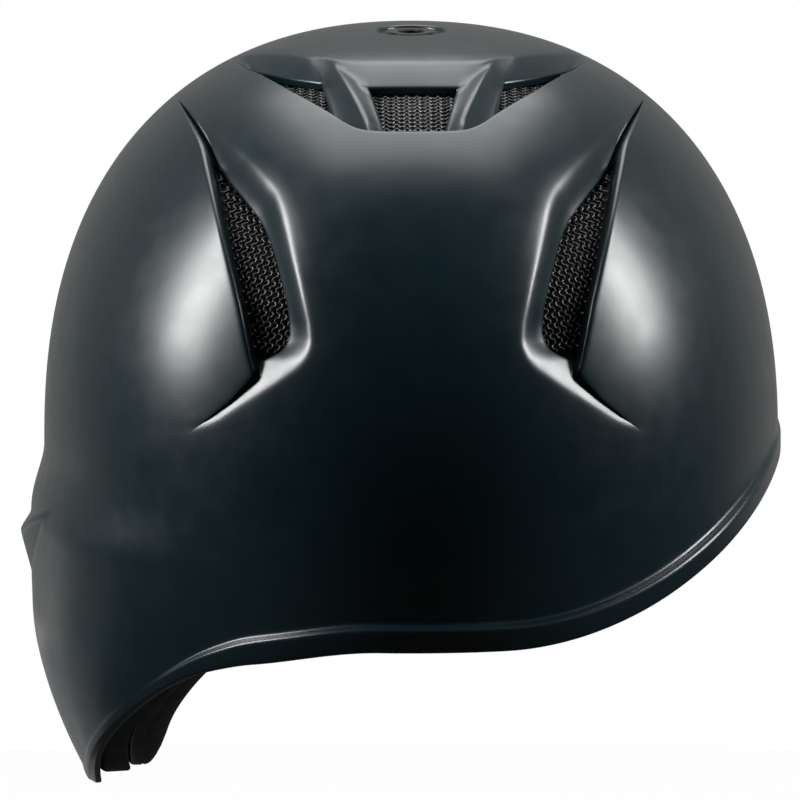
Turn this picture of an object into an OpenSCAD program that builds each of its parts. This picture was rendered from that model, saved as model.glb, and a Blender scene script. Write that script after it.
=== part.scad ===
// Batting helmet with one ear flap on the wearer's left.
// Millimetres, +Z up, brim towards -Y, ear flap on +X.
// The origin is the middle of the head opening, level with the rim at the nape.

/* [Shell] */
// Half the width of the shell at its widest level
half_width = 106; // [101:0.5:112]
// Reach of the shell behind the middle of the head
rear_reach = 122; // [117:0.5:128]
// Reach of the shell ahead of the middle of the head
front_reach = 120; // [115:0.5:126]
// Height of the widest level above the nape rim
girth_height = 37; // [34:0.5:41]
// Rise of the dome above its widest level
dome_rise = 120; // [115:0.5:126]
// Wall of the moulded shell
wall = 3.5; // [2.8:0.1:4.2]

/* [Rim] */
// Height of the rim over the bare right ear
ear_rise = 34.5; // [30:0.5:37]
// Height of the rim above the brows
brow_height = 28; // [24:0.5:31]
// Height of the bead round the nape
bead_height = 8; // [6:0.5:10]
// How far the bead stands out from the shell
bead_out = 2.6; // [1.5:0.1:3.5]

/* [Brim] */
// Length of the brim ahead of the shell
brim_reach = 52; // [44:1:60]
// Thickness of the brim
brim_thick = 4; // [3:0.1:5]
// Fall of the brim below level, in degrees
brim_fall = 14; // [8:1:20]
// Radius where the brim runs into the shell
brim_fillet = 11; // [8:0.5:13]

/* [Ear flap] */
// Depth of the flap below the nape rim
flap_drop = 60; // [54:1:64]
// How far the flap swells out over the ear
flap_swell = 3.9; // [3:0.1:5]
// How far the lower end of the flap draws in to the jaw
jaw_tuck = 15.5; // [13:0.5:18]
// Height of the hood moulded above the ear hole
hood_height = 3; // [2:0.1:4]
// Width of the oval ear hole
ear_hole_w = 26; // [20:1:30]
// Height of the oval ear hole
ear_hole_h = 18; // [14:1:22]
// Height of the middle of the ear hole, below the nape rim
ear_hole_drop = 12; // [9:0.5:15]

/* [Vents] */
// Depth of the ramps that lead into the vents
vent_depth = 3.5; // [2.5:0.1:4.5]
// Wall behind the ramps and round the vent openings
vent_wall = 2.2; // [1.8:0.1:2.8]
// Thickness of the vent mesh
mesh_thick = 1.2; // [0.8:0.1:1.6]
// How far the mesh reaches past its opening, for the glue
mesh_margin = 2.6; // [2:0.1:3.2]

/* [Crown eyelet] */
// Radius of the shallow dish round the crown eyelet
dish_r = 9.5; // [8.5:0.1:11]
// Depth of that dish
dish_depth = 1.5; // [1:0.1:1.8]
// Radius of the eyelet's bore
eyelet_bore_r = 3.6; // [3:0.1:4.2]
// Wall of the eyelet's barrel
eyelet_wall = 0.9; // [0.7:0.1:1.2]
// How far the eyelet's flange stands past its barrel
flange_out = 2.2; // [1.6:0.1:2.8]
// Thickness of the flange
flange_thick = 1; // [0.8:0.1:1.2]
// Thickness of the washer inside the crown
washer_thick = 1; // [0.8:0.1:1.4]

/* [Padding] */
// Thickness of the foam liner
liner_thick = 12; // [9:0.5:13]
// Thickness of the comfort pads
pad_thick = 8; // [6:0.5:9]
// Thickness of the foam block in the ear flap
ear_base_thick = 9; // [7:0.5:10]
// Thickness of the soft cushion on that block, thinner below the ear and fuller behind it
ear_cushion_thick = 8; // [6:0.5:9]
// Thickness of each half of the hook-and-loop fastening
tape_thick = 0.8; // [0.6:0.1:1]
// Gap between pieces that seat on each other
seat_gap = 0.3; // [0.25:0.05:0.4]
// Glue between the shell's inner wall and the foam, at the corners of their facets
glue_gap = 0.9; // [0.9:0.05:1.1]

/* [Hidden] */

// Curve of the dome and of its plan: 2 is an ellipse, more is fuller
dome_power = 2.34;
plan_power = 2.12;
// How far the wall behind the head draws in towards the nape
nape_tuck = 4;
apex = girth_height + dome_rise;

// Depths below the outer skin of the layers inside the shell
liner_top = wall + glue_gap;
liner_base = liner_top + liner_thick;
hook_top = liner_base + seat_gap;
loop_top = hook_top + tape_thick + seat_gap;
pad_top = loop_top + tape_thick + seat_gap;
ear_base_base = liner_top + ear_base_thick;
ear_hook_top = ear_base_base + seat_gap;
ear_loop_top = ear_hook_top + tape_thick + seat_gap;
ear_cushion_top = ear_loop_top + tape_thick + seat_gap;

// The vents are laid out as seen from behind, along a line of sight that falls by this angle.
// Distances below the crown and out from the middle are measured square to it.
sight = 11;
crown_sight = apex * cos(sight);
// Side vent from its upper end to its tail: distance below the crown, then the distance from the
// middle of the ramp's ridge, of the ramp's foot and of the side panel's lip, and share of the depth
side_vent = [
  [24, 62.5, 64, 65.3, 0.35],
  [34, 52.5, 57.4, 59.8, 0.75],
  [43, 43.8, 53.6, 57.6, 1],
  [50, 39, 48, 56.2, 1],
  [60, 36, 41.8, 54, 1],
  [72, 32.9, 38.4, 51.3, 1],
  [84, 30.2, 35.8, 48.4, 1],
  [90, 29.4, 35.8, 47.2, 1],
  [94, 30.2, 38.6, 46.6, 1],
  [96.5, 31.6, 42.5, 46, 0.95],
  [100, 35.4, 44, 46.4, 0.7],
  [104, 42.4, 47, 50.3, 0.4],
  [110.5, 55, 57, 59, 0.15]];
// First and last station of the side vent that are open
side_open = [2, 9];
// Crown vents: distance from the middle, then the distance below the crown of the ramp's crease,
// of the ramp's foot and of the rear panel's lip, and share of the depth
crown_vent_middle = [[-12.5, 10.8, 18.5, 30.6, 1], [0, 10.8, 18.5, 31, 1], [12.5, 10.8, 18.5, 30.6, 1]];
crown_vent_side = [
  [23.5, 10.1, 19.5, 25.9, 1],
  [28, 9, 16.6, 22.5, 1],
  [35, 7.8, 15.2, 18.9, 0.9],
  [42, 7.4, 13, 14.6, 0.6]];

// Angle across the flap for each millimetre along it
flap_turn = 180 / (PI * half_width);
ear_z = -ear_hole_drop;
// Ear padding round the ear hole: its reach ahead, behind, above and below, and its inner oval
ear_pad_ahead = 45;
ear_pad_behind = 96;
ear_pad_up = 31;
ear_pad_down = 60;
ear_pad_hole = [19, 23];
// Distance that the ear padding keeps from the edge of the flap
ear_pad_inset = 3;
ear_cushion_inset = 4;

// Crown padding: middle of the oval behind or ahead of the eyelet, and its half sizes
crown_mid = -15;
crown_liner_half = [48, 43];
crown_pad_half = [38, 34];
crown_hole = dish_r + 3;

// Steps round the shell, down the dome, down the wall, and back up inside
turns = 64;
dome_rings = 13;
wall_rings = 9;
inner_wall_rings = 6;
inner_dome_rings = 9;
// Height above the widest level where the dome rings give way to the wall rings
dome_foot = 12;

// Smooth step from 0 at a to 1 at b
function ease(a, b, x) = let(t = max(0, min(1, (x - a) / (b - a)))) t * t * (3 - 2 * t);

function unit(v) = v / norm(v);

// Angle from the middle of the back, positive towards the ear flap, for a plan angle
function from_rear(turn) = (90 - turn + 540) % 360 - 180;

// Radius of the shell's widest level at a plan angle
function reach(turn) =
  pow(pow(abs(cos(turn)) / half_width, plan_power)
    + pow(abs(sin(turn)) / (sin(turn) >= 0 ? rear_reach : front_reach), plan_power), -1 / plan_power);

// Height of the rim: up over the right ear, down round the flap, level over the brows
function rim(turn) =
  let(side = from_rear(turn), r = abs(side), flap_start = 7)
  side < 0
    ? ear_rise * ease(12, 80, r) + (brow_height - ear_rise) * ease(100, 140, r)
    : -flap_start * ease(5, 30, r) - (flap_drop - flap_start) * ease(24, 80, r)
      + (flap_drop + brow_height) * ease(96, 136, r);

// How much of the flap's shape a plan angle takes
function flap_share(turn) = let(side = from_rear(turn)) ease(22, 62, side) * (1 - ease(128, 150, side));

// How far the wall stands out from the widest level, below it
function wall_offset(turn, z) =
  let(drop = max(0, girth_height - z), share = flap_share(turn), jaw = max(0, -z - 8) / (flap_drop - 8))
  share * (flap_swell * ease(0, 19, drop) - jaw_tuck * pow(jaw, 1.7))
    - (1 - share) * nape_tuck * pow(drop / girth_height, 2);

// Hood above the ear hole: a crest that grows from a point behind the ear and fades ahead of it
function hood(turn, z) =
  let(along = turn > 180 ? turn - 360 : turn,
    crest = ear_z + 21 + 0.25 * max(0, along),
    swell = ease(27, 4, along) * ease(-34, -18, along))
  hood_height * swell * (z > crest ? 1 - ease(0, 7, z - crest) : 1 - ease(0, 12, crest - z));

// Radius of the surface that lies a depth below the outer skin
function radius(turn, z, depth) =
  z > girth_height
    ? (reach(turn) - depth)
      * pow(max(0, 1 - pow(min(1, (z - girth_height) / (dome_rise - depth)), dome_power)), 1 / dome_power)
    : reach(turn) + wall_offset(turn, z) - depth;

function polar(turn, r, z) = [r * cos(turn), r * sin(turn), z];
function skin(turn, z, depth) = polar(turn, radius(turn, z, depth), z);

// Point of the same surface above a plan position
function crown(x, y, depth) =
  let(f = norm([x, y]) / (reach(atan2(y, x)) - depth))
  [x, y, girth_height + (dome_rise - depth) * pow(1 - pow(f, dome_power), 1 / dome_power)];

// Below zero inside the dome, above zero outside it
function beyond(p, depth) =
  pow(norm([p[0], p[1]]) / (reach(atan2(p[1], p[0])) - depth), dome_power)
    + pow(max(0, p[2] - girth_height) / (dome_rise - depth), dome_power) - 1;

function outward(p) =
  let(h = 0.05)
  unit([for (axis = [[h, 0, 0], [0, h, 0], [0, 0, h]]) beyond(p + axis, 0) - beyond(p - axis, 0)]);

// Views from behind are [from the middle, towards the eye, up], turned about X into the helmet
toward = [0, cos(sight), sin(sight)];
function turned(p) =
  [p[0], p[1] * cos(sight) - p[2] * sin(sight), p[1] * sin(sight) + p[2] * cos(sight)];
// Point of the surface a depth below the dome that shows at a place in that view, found by halving
function find(x, up, depth, near, far, halvings) =
  let(mid = (near + far) / 2)
  halvings == 0 ? [x, mid, up]
    : beyond(turned([x, mid, up]), depth) < 0 ? find(x, up, depth, mid, far, halvings - 1)
      : find(x, up, depth, near, mid, halvings - 1);
function seen(x, drop, depth) =
  let(up = crown_sight - drop, start = up * tan(sight))
  find(x, up, depth, start - 4, start + rear_reach + 20, 24);

// Half outline of the rim bead as [out, up] from the foot of the wall, and of the brim beside it
function bead_edge(out, tall) = [
  [0, tall + 3], [0.2 * out, tall + 1.4], [0.75 * out, tall + 0.2],
  [out, 0.82 * tall], [out, 0.5 * tall], [out, 0.15 * tall], [out - 0.5, 0.3], [out - 1.4, 0],
  [(out - wall) / 2, 0], [-wall + 1, 0], [-wall + 0.2, 0.5], [-wall, tall + 3]];
function brim_edge(length) =
  let(fillet = brim_fillet * min(1, length / 26), fall = tan(brim_fall), tip = 1.3,
    low = function(out) -fall * (out - fillet))
  [[0, max(fillet, bead_height) + 3], [0.13 * fillet, 0.5 * fillet], [0.5 * fillet, 0.13 * fillet],
    [fillet, 0], [(fillet + length) / 2, low((fillet + length) / 2)],
    [length - tip, low(length - tip)], [length, low(length) - brim_thick / 2],
    [length - tip, low(length - tip) - brim_thick], [length / 2, low(length / 2) - brim_thick],
    [0, -brim_thick], [-wall + 0.2, 0.5 - brim_thick / 2], [-wall, bead_height + 3]];

// Edge of the shell at a plan angle: bead at the back, plain on the flap, brim at the front
function edge(turn) =
  let(side = from_rear(turn), ahead = 180 - abs(side),
    bead = bead_out * (side < 0 ? 1 - 0.7 * ease(45, 85, -side) : 1 - ease(36, 56, side)),
    tall = bead_height * (1 - 0.6 * ease(16, 40, side)),
    length = brim_reach * pow(max(0, cos(min(90, 90 * ahead / 62))), 1.2),
    share = ease(62, 50, ahead),
    a = bead_edge(bead, tall), b = brim_edge(max(length, 4)))
  [for (i = [0 : len(a) - 1]) a[i] * (1 - share) + b[i] * share];

// One upright section of the shell, from beside the crown, round the rim, and back up inside
function section(turn) =
  let(foot = rim(turn), profile = edge(turn), start = foot + profile[0][1],
    inner_start = foot + profile[len(profile) - 1][1], level = girth_height + dome_foot,
    curve = function(t) 1 - pow(cos(90 * t), 2 / dome_power),
    clear = function(z) max(z, foot))
  concat(
    [for (i = [1 : dome_rings]) let(z = apex - (apex - level) * curve(i / dome_rings)) skin(turn, z, 0)],
    [for (i = [1 : wall_rings - 1])
      let(z = level + (start - level) * i / wall_rings)
      polar(turn, radius(turn, z, 0) + hood(turn, z), z)],
    [for (p = profile) polar(turn, radius(turn, clear(foot + p[1]), 0) + p[0], foot + p[1])],
    [for (i = [1 : inner_wall_rings])
      skin(turn, inner_start + (level - inner_start) * i / inner_wall_rings, wall)],
    [for (i = [inner_dome_rings - 1 : -1 : 1])
      let(z = apex - wall - (apex - wall - level) * curve(i / inner_dome_rings))
      skin(turn, z, wall)]);

// Bare shell without its vents, swept from its sections
module bare_shell() {
  sections = [for (i = [0 : turns - 1]) section(360 * i / turns)];
  rings = len(sections[0]);
  points = concat([for (s = sections) for (p = s) p], [[0, 0, apex], [0, 0, apex - wall]]);
  top = turns * rings;
  next = function(i) (i + 1) % turns;
  faces = concat(
    [for (i = [0 : turns - 1]) for (j = [0 : rings - 2])
      for (f = [[i * rings + j, next(i) * rings + j + 1, i * rings + j + 1],
        [i * rings + j, next(i) * rings + j, next(i) * rings + j + 1]]) f],
    [for (i = [0 : turns - 1]) [top, next(i) * rings, i * rings]],
    [for (i = [0 : turns - 1]) [top + 1, i * rings + rings - 1, next(i) * rings + rings - 1]]);
  polyhedron(points, faces, convexity = 8);
}

// Solid along a row of flat stations: the hull of the corners of each one and the next
module stations(list) {
  for (i = [0 : len(list) - 2]) {
    corners = concat(list[i], list[i + 1]);
    hull() {
      polyhedron(corners, [for (k = [0 : len(corners) - 3]) [k, k + 1, k + 2]]);
    }
  }
}

// One vent station in its plane: ridge on the skin, foot of the ramp, lip on the skin, way out
// of the shell for each millimetre of depth, depth, and way across from the lip to the foot
function station(ridge, foot, lip, way, depth) =
  let(out = way / (way * way))
  [ridge, foot, lip, out, depth, unit(foot - lip + depth * out)];
function side_station(s) =
  let(depth = vent_depth * s[4], ridge = seen(s[1], s[0], 0), lip = seen(s[3], s[0], 0),
    n = outward(turned((ridge + lip) / 2)))
  station(ridge, seen(s[2], s[0], depth), lip, [n[0], n * toward, 0], depth);
function crown_station(s) =
  let(depth = vent_depth * s[4], ridge = turned(seen(s[0], s[1], 0)), lip = turned(seen(s[0], s[3], 0)),
    n = outward((ridge + lip) / 2))
  station(ridge, turned(seen(s[0], s[2], depth)), lip, [0, n[1], n[2]], depth);

// The same vent with its two ends drawn in by a share of their spacing, or drawn out where it is negative
function drawn_in(vent, share) =
  let(last = len(vent) - 1)
  [for (i = [0 : last])
    i == 0 ? vent[0] + (vent[1] - vent[0]) * share
      : i == last ? vent[last] + (vent[last - 1] - vent[last]) * share : vent[i]];
function side_rows(vent) = [for (s = vent) side_station(s)];
function crown_rows(vent) = [for (s = vent) crown_station(s)];

// Material that backs a vent: a wall under the ramp and one below the lip.
// Both reach a little into the cutters, which trim them.
trim = 0.4;
backing_past = -0.12;
module vent_backing(rows) {
  stations([for (k = rows)
    let(foot = k[1] - trim * k[5])
    [k[0] - 0.6 * k[3], k[0] - wall * k[3], foot + trim * k[3], foot - vent_wall * k[3]]]);
  stations([for (k = rows)
    let(high = k[2] - 0.6 * k[3], low = k[2] - (k[4] + vent_wall) * k[3])
    [high + trim * k[5], low + trim * k[5], high - vent_wall * k[5], low - vent_wall * k[5]]]);
}

// Cutter that leaves the ramp and the lip
module vent_ramp(rows) {
  above = 5;
  stations([for (k = rows)
    [k[0], k[1], k[2] - k[4] * k[3], k[0] + above * k[3], k[2] + above * k[3]]]);
}

// Cutter that opens the vent through to the mesh, just inside the ramp's foot and the lip
hole_short = 0.06;
module vent_hole(rows) {
  through = vent_wall + wall;
  stations([for (k = rows)
    let(a = k[1] - trim / 2 * k[5], b = k[2] - k[4] * k[3] + trim / 2 * k[5])
    [a + k[3], a - through * k[3], b + k[3], b - through * k[3]]]);
}

side_hole = [for (i = [side_open[0] : side_open[1]]) side_vent[i]];

// Mesh sheet glued behind a vent, wider than the opening all round
module vent_sheet(stations_, facing) {
  last = len(stations_) - 1;
  rows = [for (k = stations_)
    let(below = (vent_wall + seat_gap) * k[3])
    [k[1] - below + mesh_margin * k[5], k[2] - k[4] * k[3] - below - mesh_margin * k[5]]];
  end = function(i, near) [for (c = [0, 1]) rows[i][c] + mesh_margin * unit(rows[i][c] - rows[near][c])];
  grid = concat([end(0, 1)], rows, [end(last, last - 1)]);
  away = [for (k = concat([stations_[0]], stations_, [stations_[last]])) mesh_thick * k[3]];
  slab(grid, [for (i = [0 : len(grid) - 1]) [for (p = grid[i]) p - away[i]]], facing = facing);
}

// Closed solid between two grids of points that match, the first one on the outside of the helmet
module slab(outside, inside, facing = 1, closed = false) {
  n = len(outside);
  m = len(outside[0]);
  count = n * m;
  at = function(i, j) (i % n) * m + j;
  cells = closed ? n - 1 : n - 2;
  quad = function(a, b, c, d) facing > 0 ? [[a, b, c], [a, c, d]] : [[a, c, b], [a, d, c]];
  rows = [for (i = [0 : cells]) for (j = [0 : m - 2])
    concat(quad(at(i, j), at(i, j + 1), at(i + 1, j + 1), at(i + 1, j)),
      quad(count + at(i, j), count + at(i + 1, j), count + at(i + 1, j + 1), count + at(i, j + 1)))];
  rims = [for (i = [0 : cells])
    concat(quad(at(i + 1, 0), count + at(i + 1, 0), count + at(i, 0), at(i, 0)),
      quad(at(i, m - 1), count + at(i, m - 1), count + at(i + 1, m - 1), at(i + 1, m - 1)))];
  caps = closed ? [] : [for (j = [0 : m - 2])
    concat(quad(at(0, j), count + at(0, j), count + at(0, j + 1), at(0, j + 1)),
      quad(at(n - 1, j + 1), count + at(n - 1, j + 1), count + at(n - 1, j), at(n - 1, j)))];
  polyhedron([for (g = [outside, inside]) for (r = g) for (p = r) p],
    [for (q = concat(rows, rims, caps)) for (f = q) f], convexity = 4);
}

// Place on a panel with round corners, for u and v from -1 to 1
function panel_turn(turns_, u, v, scale_) =
  (turns_[0] + turns_[1]) / 2 + (turns_[1] - turns_[0]) / 2 * u * scale_ * sqrt(1 - 0.15 * v * v);
function panel_level(levels, u, v, scale_) =
  (levels[0] + levels[1]) / 2 + (levels[1] - levels[0]) / 2 * v * scale_ * sqrt(1 - 0.15 * u * u);

// Foam panel that follows the shell between two depths
module foam_panel(angles, levels, top, base, cells) {
  grid = function(depth, scale_) [for (i = [0 : cells[0]]) [for (j = [0 : cells[1]])
    let(u = 2 * i / cells[0] - 1, v = 2 * j / cells[1] - 1)
    skin(panel_turn(angles, u, v, scale_), panel_level(levels, u, v, scale_), depth)]];
  slab(grid(top, 1), grid(base, 0.97));
}

// Soft pad that follows the shell: flat back drawn in from the seam, crowned face
function crowned(u, v) = sqrt(max(0, (1 - pow(abs(u), 4)) * (1 - pow(abs(v), 4))));
module soft_panel(angles, levels, top, thick, cells) {
  seam = 0.4;
  back = 0.93;
  place = function(u, v, depth, scale_)
    skin(panel_turn(angles, u, v, scale_), panel_level(levels, u, v, scale_), depth);
  step = function(i, n) let(t = 2 * i / n - 1) t * (1.3 - 0.3 * t * t);
  slab(
    [for (i = [0 : cells[0]]) [for (j = [0 : cells[1]])
      place(step(i, cells[0]), step(j, cells[1]), top, back)]],
    [for (i = [0 : cells[0]]) [for (j = [0 : cells[1]])
      let(u = step(i, cells[0]), v = step(j, cells[1]))
      place(u, v, top + thick * (seam + (1 - seam) * crowned(u, v)), 1)]]);
}

// Depth share of a ring's face from its inner to its outer edge, with round shoulders
function ring_crown(t) = sqrt(max(0, 1 - pow(abs(2 * t - 1), 4)));

// Ring in the crown between an inner circle and an oval, between two depths
module crown_ring(hole, half, top, thick, soft, cells) {
  seam = soft ? 0.4 : 1;
  draw = soft ? 2 : 0;
  point = function(i, j, depth, inset)
    let(a = 360 * i / cells[0], t = j / cells[1], r0 = hole + inset,
      r1 = oval_reach(a, half, crown_mid) - inset, r = r0 + (r1 - r0) * t)
    crown(r * cos(a), r * sin(a), depth);
  slab(
    [for (i = [0 : cells[0] - 1]) [for (j = [0 : cells[1]]) point(i, j, top, draw)]],
    [for (i = [0 : cells[0] - 1]) [for (j = [0 : cells[1]])
      point(i, j, top + thick * (seam + (1 - seam) * ring_crown(j / cells[1])), 0)]],
    facing = -1, closed = true);
}

// Distance from the eyelet to an oval whose middle lies off it
function oval_reach(a, half, mid) =
  let(c = cos(a), s = sin(a), qa = pow(c / half[0], 2) + pow(s / half[1], 2),
    qb = -s * mid / pow(half[1], 2), qc = pow(mid / half[1], 2) - 1)
  (-qb + sqrt(qb * qb - qa * qc)) / qa;

// Reach of the ear padding from the middle of the ear hole, held off the edge of the flap
function flap_place(a, r) = [r * cos(a) * flap_turn, ear_z + r * sin(a)];
function on_flap(a, r, inset) = let(p = flap_place(a, r)) p[1] > rim(p[0]) + inset;
function flap_reach(a, inset, near, far, halvings) =
  let(mid = (near + far) / 2)
  halvings == 0 ? near
    : on_flap(a, mid, inset) ? flap_reach(a, inset, mid, far, halvings - 1)
      : flap_reach(a, inset, near, mid, halvings - 1);
function ear_reach(a, inset) =
  let(up = sin(a) > 0 ? ear_pad_up : ear_pad_down, along = cos(a) > 0 ? ear_pad_behind : ear_pad_ahead,
    oval = pow(pow(abs(cos(a)) / along, 3) + pow(abs(sin(a)) / up, 3), -1 / 3))
  min(oval - inset + ear_pad_inset, flap_reach(a, inset, 20, 110, 18));

// Thickness of the ear cushion in a direction from the ear
function ear_cushion_at(a) = ear_cushion_thick * (0.75 + ease(0.25, 1, cos(a - 10)));

// Ring of padding in the flap round the ear
module ear_ring(inset, top, thick_at, soft, cells) {
  seam = soft ? 0.4 : 1;
  draw = soft ? 1.5 : 0;
  hole_at = function(a) 1 / norm([cos(a) / ear_pad_hole[0], sin(a) / ear_pad_hole[1]]);
  point = function(i, j, depth, drawn)
    let(a = 360 * i / cells[0], t = j / cells[1], r0 = hole_at(a) + drawn + (soft ? 1 : 0),
      r1 = ear_reach(a, inset) - drawn, p = flap_place(a, r0 + (r1 - r0) * t))
    skin(p[0], p[1], depth);
  slab(
    [for (i = [0 : cells[0] - 1]) [for (j = [0 : cells[1]]) point(i, j, top, draw)]],
    [for (i = [0 : cells[0] - 1]) [for (j = [0 : cells[1]])
      point(i, j, top + thick_at(360 * i / cells[0]) * (seam + (1 - seam) * ring_crown(j / cells[1])), 0)]],
    facing = -1, closed = true);
}

// Patch of fastening tape on the shell's curve, by its middle and half sizes
module tape_patch(turn, level, half_turn, half_level, top) {
  foam_panel([turn - half_turn, turn + half_turn], [level - half_level, level + half_level],
    top, top + tape_thick, [4, 2]);
}

// Plan angles and heights of the foam panels and of the pads that fasten to them
front_panel = [[234, 306], [brow_height + 5, 90]];
rear_panel = [[56, 124], [5, 54]];
rear_upper_panel = [[77, 103], [60, 118]];
left_panel = [[-47, 47], [24, 86]];
right_panel = [[133, 227], [ear_rise + 6, 86]];
front_soft = [[236, 304], [brow_height + 9, 68]];
rear_soft = [[62, 118], [9, 46]];
left_soft = [[-26, 26], [31, 64]];
right_soft = [[154, 206], [ear_rise + 9, 72]];

// Tape patches: plan angle and height of each, for one pad
function tape_rows(soft) =
  let(mid = (soft[0][0] + soft[0][1]) / 2, swing = (soft[0][1] - soft[0][0]) / 4,
    level = (soft[1][0] + soft[1][1]) / 2)
  [[mid - swing, level], [mid + swing, level]];
module pad_tape(soft, top) {
  for (p = tape_rows(soft)) {
    tape_patch(p[0], p[1], 7, 6.5, top);
  }
}

// Crown tape: two patches either side of the middle
crown_tape_half = [6, 9];
module crown_tape(top) {
  for (side = [-1, 1]) {
    grid = function(depth) [for (i = [0 : 2]) [for (j = [0 : 3])
      crown(side * 24 + crown_tape_half[0] * (i - 1), crown_mid + crown_tape_half[1] * (2 * j / 3 - 1), depth)]];
    slab(grid(top), grid(top + tape_thick));
  }
}

// Ear tape: patches above, behind and below the ear
ear_tape_angles = [75, 5, 250];
module ear_tape(top) {
  for (a = ear_tape_angles) {
    hole_edge = 1 / norm([cos(a) / ear_pad_hole[0], sin(a) / ear_pad_hole[1]]);
    middle = (hole_edge + ear_reach(a, ear_cushion_inset)) / 2;
    p = flap_place(a, middle);
    tape_patch(p[0], p[1], 5 * flap_turn, 4, top);
  }
}

module outer_shell() {
  color("#15191b")
  difference() {
    union() {
      bare_shell();
      for (side = [0, 1]) {
        mirror([side, 0, 0]) {
          rotate([sight, 0, 0]) vent_backing(side_rows(drawn_in(side_vent, backing_past)));
          vent_backing(crown_rows(drawn_in(crown_vent_side, backing_past)));
        }
      }
      vent_backing(crown_rows(drawn_in(crown_vent_middle, backing_past)));
    }
    for (side = [0, 1]) {
      mirror([side, 0, 0]) {
        rotate([sight, 0, 0]) {
          vent_ramp(side_rows(side_vent));
          vent_hole(side_rows(drawn_in(side_hole, hole_short)));
        }
        vent_ramp(crown_rows(crown_vent_side));
        vent_hole(crown_rows(drawn_in(crown_vent_side, hole_short)));
      }
    }
    vent_ramp(crown_rows(crown_vent_middle));
    vent_hole(crown_rows(drawn_in(crown_vent_middle, hole_short)));
    hull() {
      for (side = [-1, 1]) {
        translate([half_width - 20, side * (ear_hole_w - ear_hole_h) / 2, ear_z])
          rotate([0, 90, 0]) cylinder(d = ear_hole_h, h = 40, $fn = 32);
      }
    }
    translate([0, 0, apex - dish_depth]) rotate([0, 0, 0.94]) cylinder(r = dish_r, h = 10, $fn = 48);
    translate([0, 0, apex - 20]) rotate([0, 0, 0.94]) cylinder(r = eyelet_hole_r, h = 30, $fn = 48);
  }
}

module left_rear_vent_mesh() {
  color("#101010") rotate([sight, 0, 0]) vent_sheet(side_rows(side_hole), -1);
}

module right_rear_vent_mesh() {
  color("#101010") mirror([1, 0, 0]) rotate([sight, 0, 0]) vent_sheet(side_rows(side_hole), -1);
}

module centre_crown_vent_mesh() {
  color("#101010") vent_sheet(crown_rows(crown_vent_middle), 1);
}

module left_crown_vent_mesh() {
  color("#101010") vent_sheet(crown_rows(crown_vent_side), 1);
}

module right_crown_vent_mesh() {
  color("#101010") mirror([1, 0, 0]) vent_sheet(crown_rows(crown_vent_side), 1);
}

// The eyelet's barrel goes through the crown and is rolled over the washer inside
eyelet_barrel_r = eyelet_bore_r + eyelet_wall;
eyelet_hole_r = eyelet_barrel_r + seat_gap;
dish_floor = apex - dish_depth;
// The crown is a little lower over the washer than at its middle
crown_inside = apex - wall - 0.5;
washer_r = eyelet_barrel_r + flange_out + 1.5;
module crown_eyelet() {
  roll_top = crown_inside - 2 * seat_gap - washer_thick;
  color("#3a3a3c")
  rotate_extrude($fn = 64) {
    polygon([
      [eyelet_bore_r, dish_floor + flange_thick * 0.6],
      [eyelet_bore_r + 0.4, dish_floor + flange_thick],
      [eyelet_barrel_r + flange_out - 0.5, dish_floor + flange_thick],
      [eyelet_barrel_r + flange_out, dish_floor + flange_thick * 0.5],
      [eyelet_barrel_r + flange_out, dish_floor],
      [eyelet_barrel_r, dish_floor],
      [eyelet_barrel_r, roll_top],
      [eyelet_barrel_r + 1.2, roll_top],
      [eyelet_barrel_r + 1.2, roll_top - flange_thick * 0.6],
      [eyelet_barrel_r + 0.6, roll_top - flange_thick],
      [eyelet_bore_r, roll_top - flange_thick]]);
  }
}

module crown_eyelet_washer() {
  color("#5a5a5c")
  translate([0, 0, crown_inside - seat_gap - washer_thick])
  difference() {
    cylinder(r = washer_r, h = washer_thick, $fn = 64);
    translate([0, 0, -1]) cylinder(r = eyelet_hole_r, h = washer_thick + 2, $fn = 64);
  }
}

module front_liner() {
  color("#26282a") foam_panel(front_panel[0], front_panel[1], liner_top, liner_base, [14, 5]);
}

module rear_liner() {
  color("#26282a") foam_panel(rear_panel[0], rear_panel[1], liner_top, liner_base, [14, 5]);
}

module rear_upper_liner() {
  color("#26282a") foam_panel(rear_upper_panel[0], rear_upper_panel[1], liner_top, liner_base, [5, 7]);
}

module left_liner() {
  color("#26282a") foam_panel(left_panel[0], left_panel[1], liner_top, liner_base, [16, 6]);
}

module right_liner() {
  color("#26282a") foam_panel(right_panel[0], right_panel[1], liner_top, liner_base, [16, 5]);
}

module crown_liner() {
  color("#26282a") crown_ring(crown_hole, crown_liner_half, liner_top, liner_thick, false, [32, 4]);
}

module ear_pad_base() {
  color("#232425") ear_ring(ear_pad_inset, liner_top, function(a) ear_base_thick, false, [32, 6]);
}

module liner_hook_patches() {
  color("#1c1c1e") {
    pad_tape(front_soft, hook_top);
    pad_tape(rear_soft, hook_top);
    pad_tape(left_soft, hook_top);
    pad_tape(right_soft, hook_top);
    crown_tape(hook_top);
  }
}

module ear_hook_patches() {
  color("#1c1c1e") ear_tape(ear_hook_top);
}

module front_pad() {
  color("#1b1d1f") soft_panel(front_soft[0], front_soft[1], pad_top, pad_thick, [14, 6]);
}

module rear_pad() {
  color("#1b1d1f") soft_panel(rear_soft[0], rear_soft[1], pad_top, pad_thick, [12, 6]);
}

module left_pad() {
  color("#1b1d1f") soft_panel(left_soft[0], left_soft[1], pad_top, pad_thick, [10, 6]);
}

module right_pad() {
  color("#1b1d1f") soft_panel(right_soft[0], right_soft[1], pad_top, pad_thick, [10, 6]);
}

module crown_pad() {
  color("#1b1d1f") crown_ring(crown_hole, crown_pad_half, pad_top, pad_thick, true, [28, 5]);
}

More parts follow.
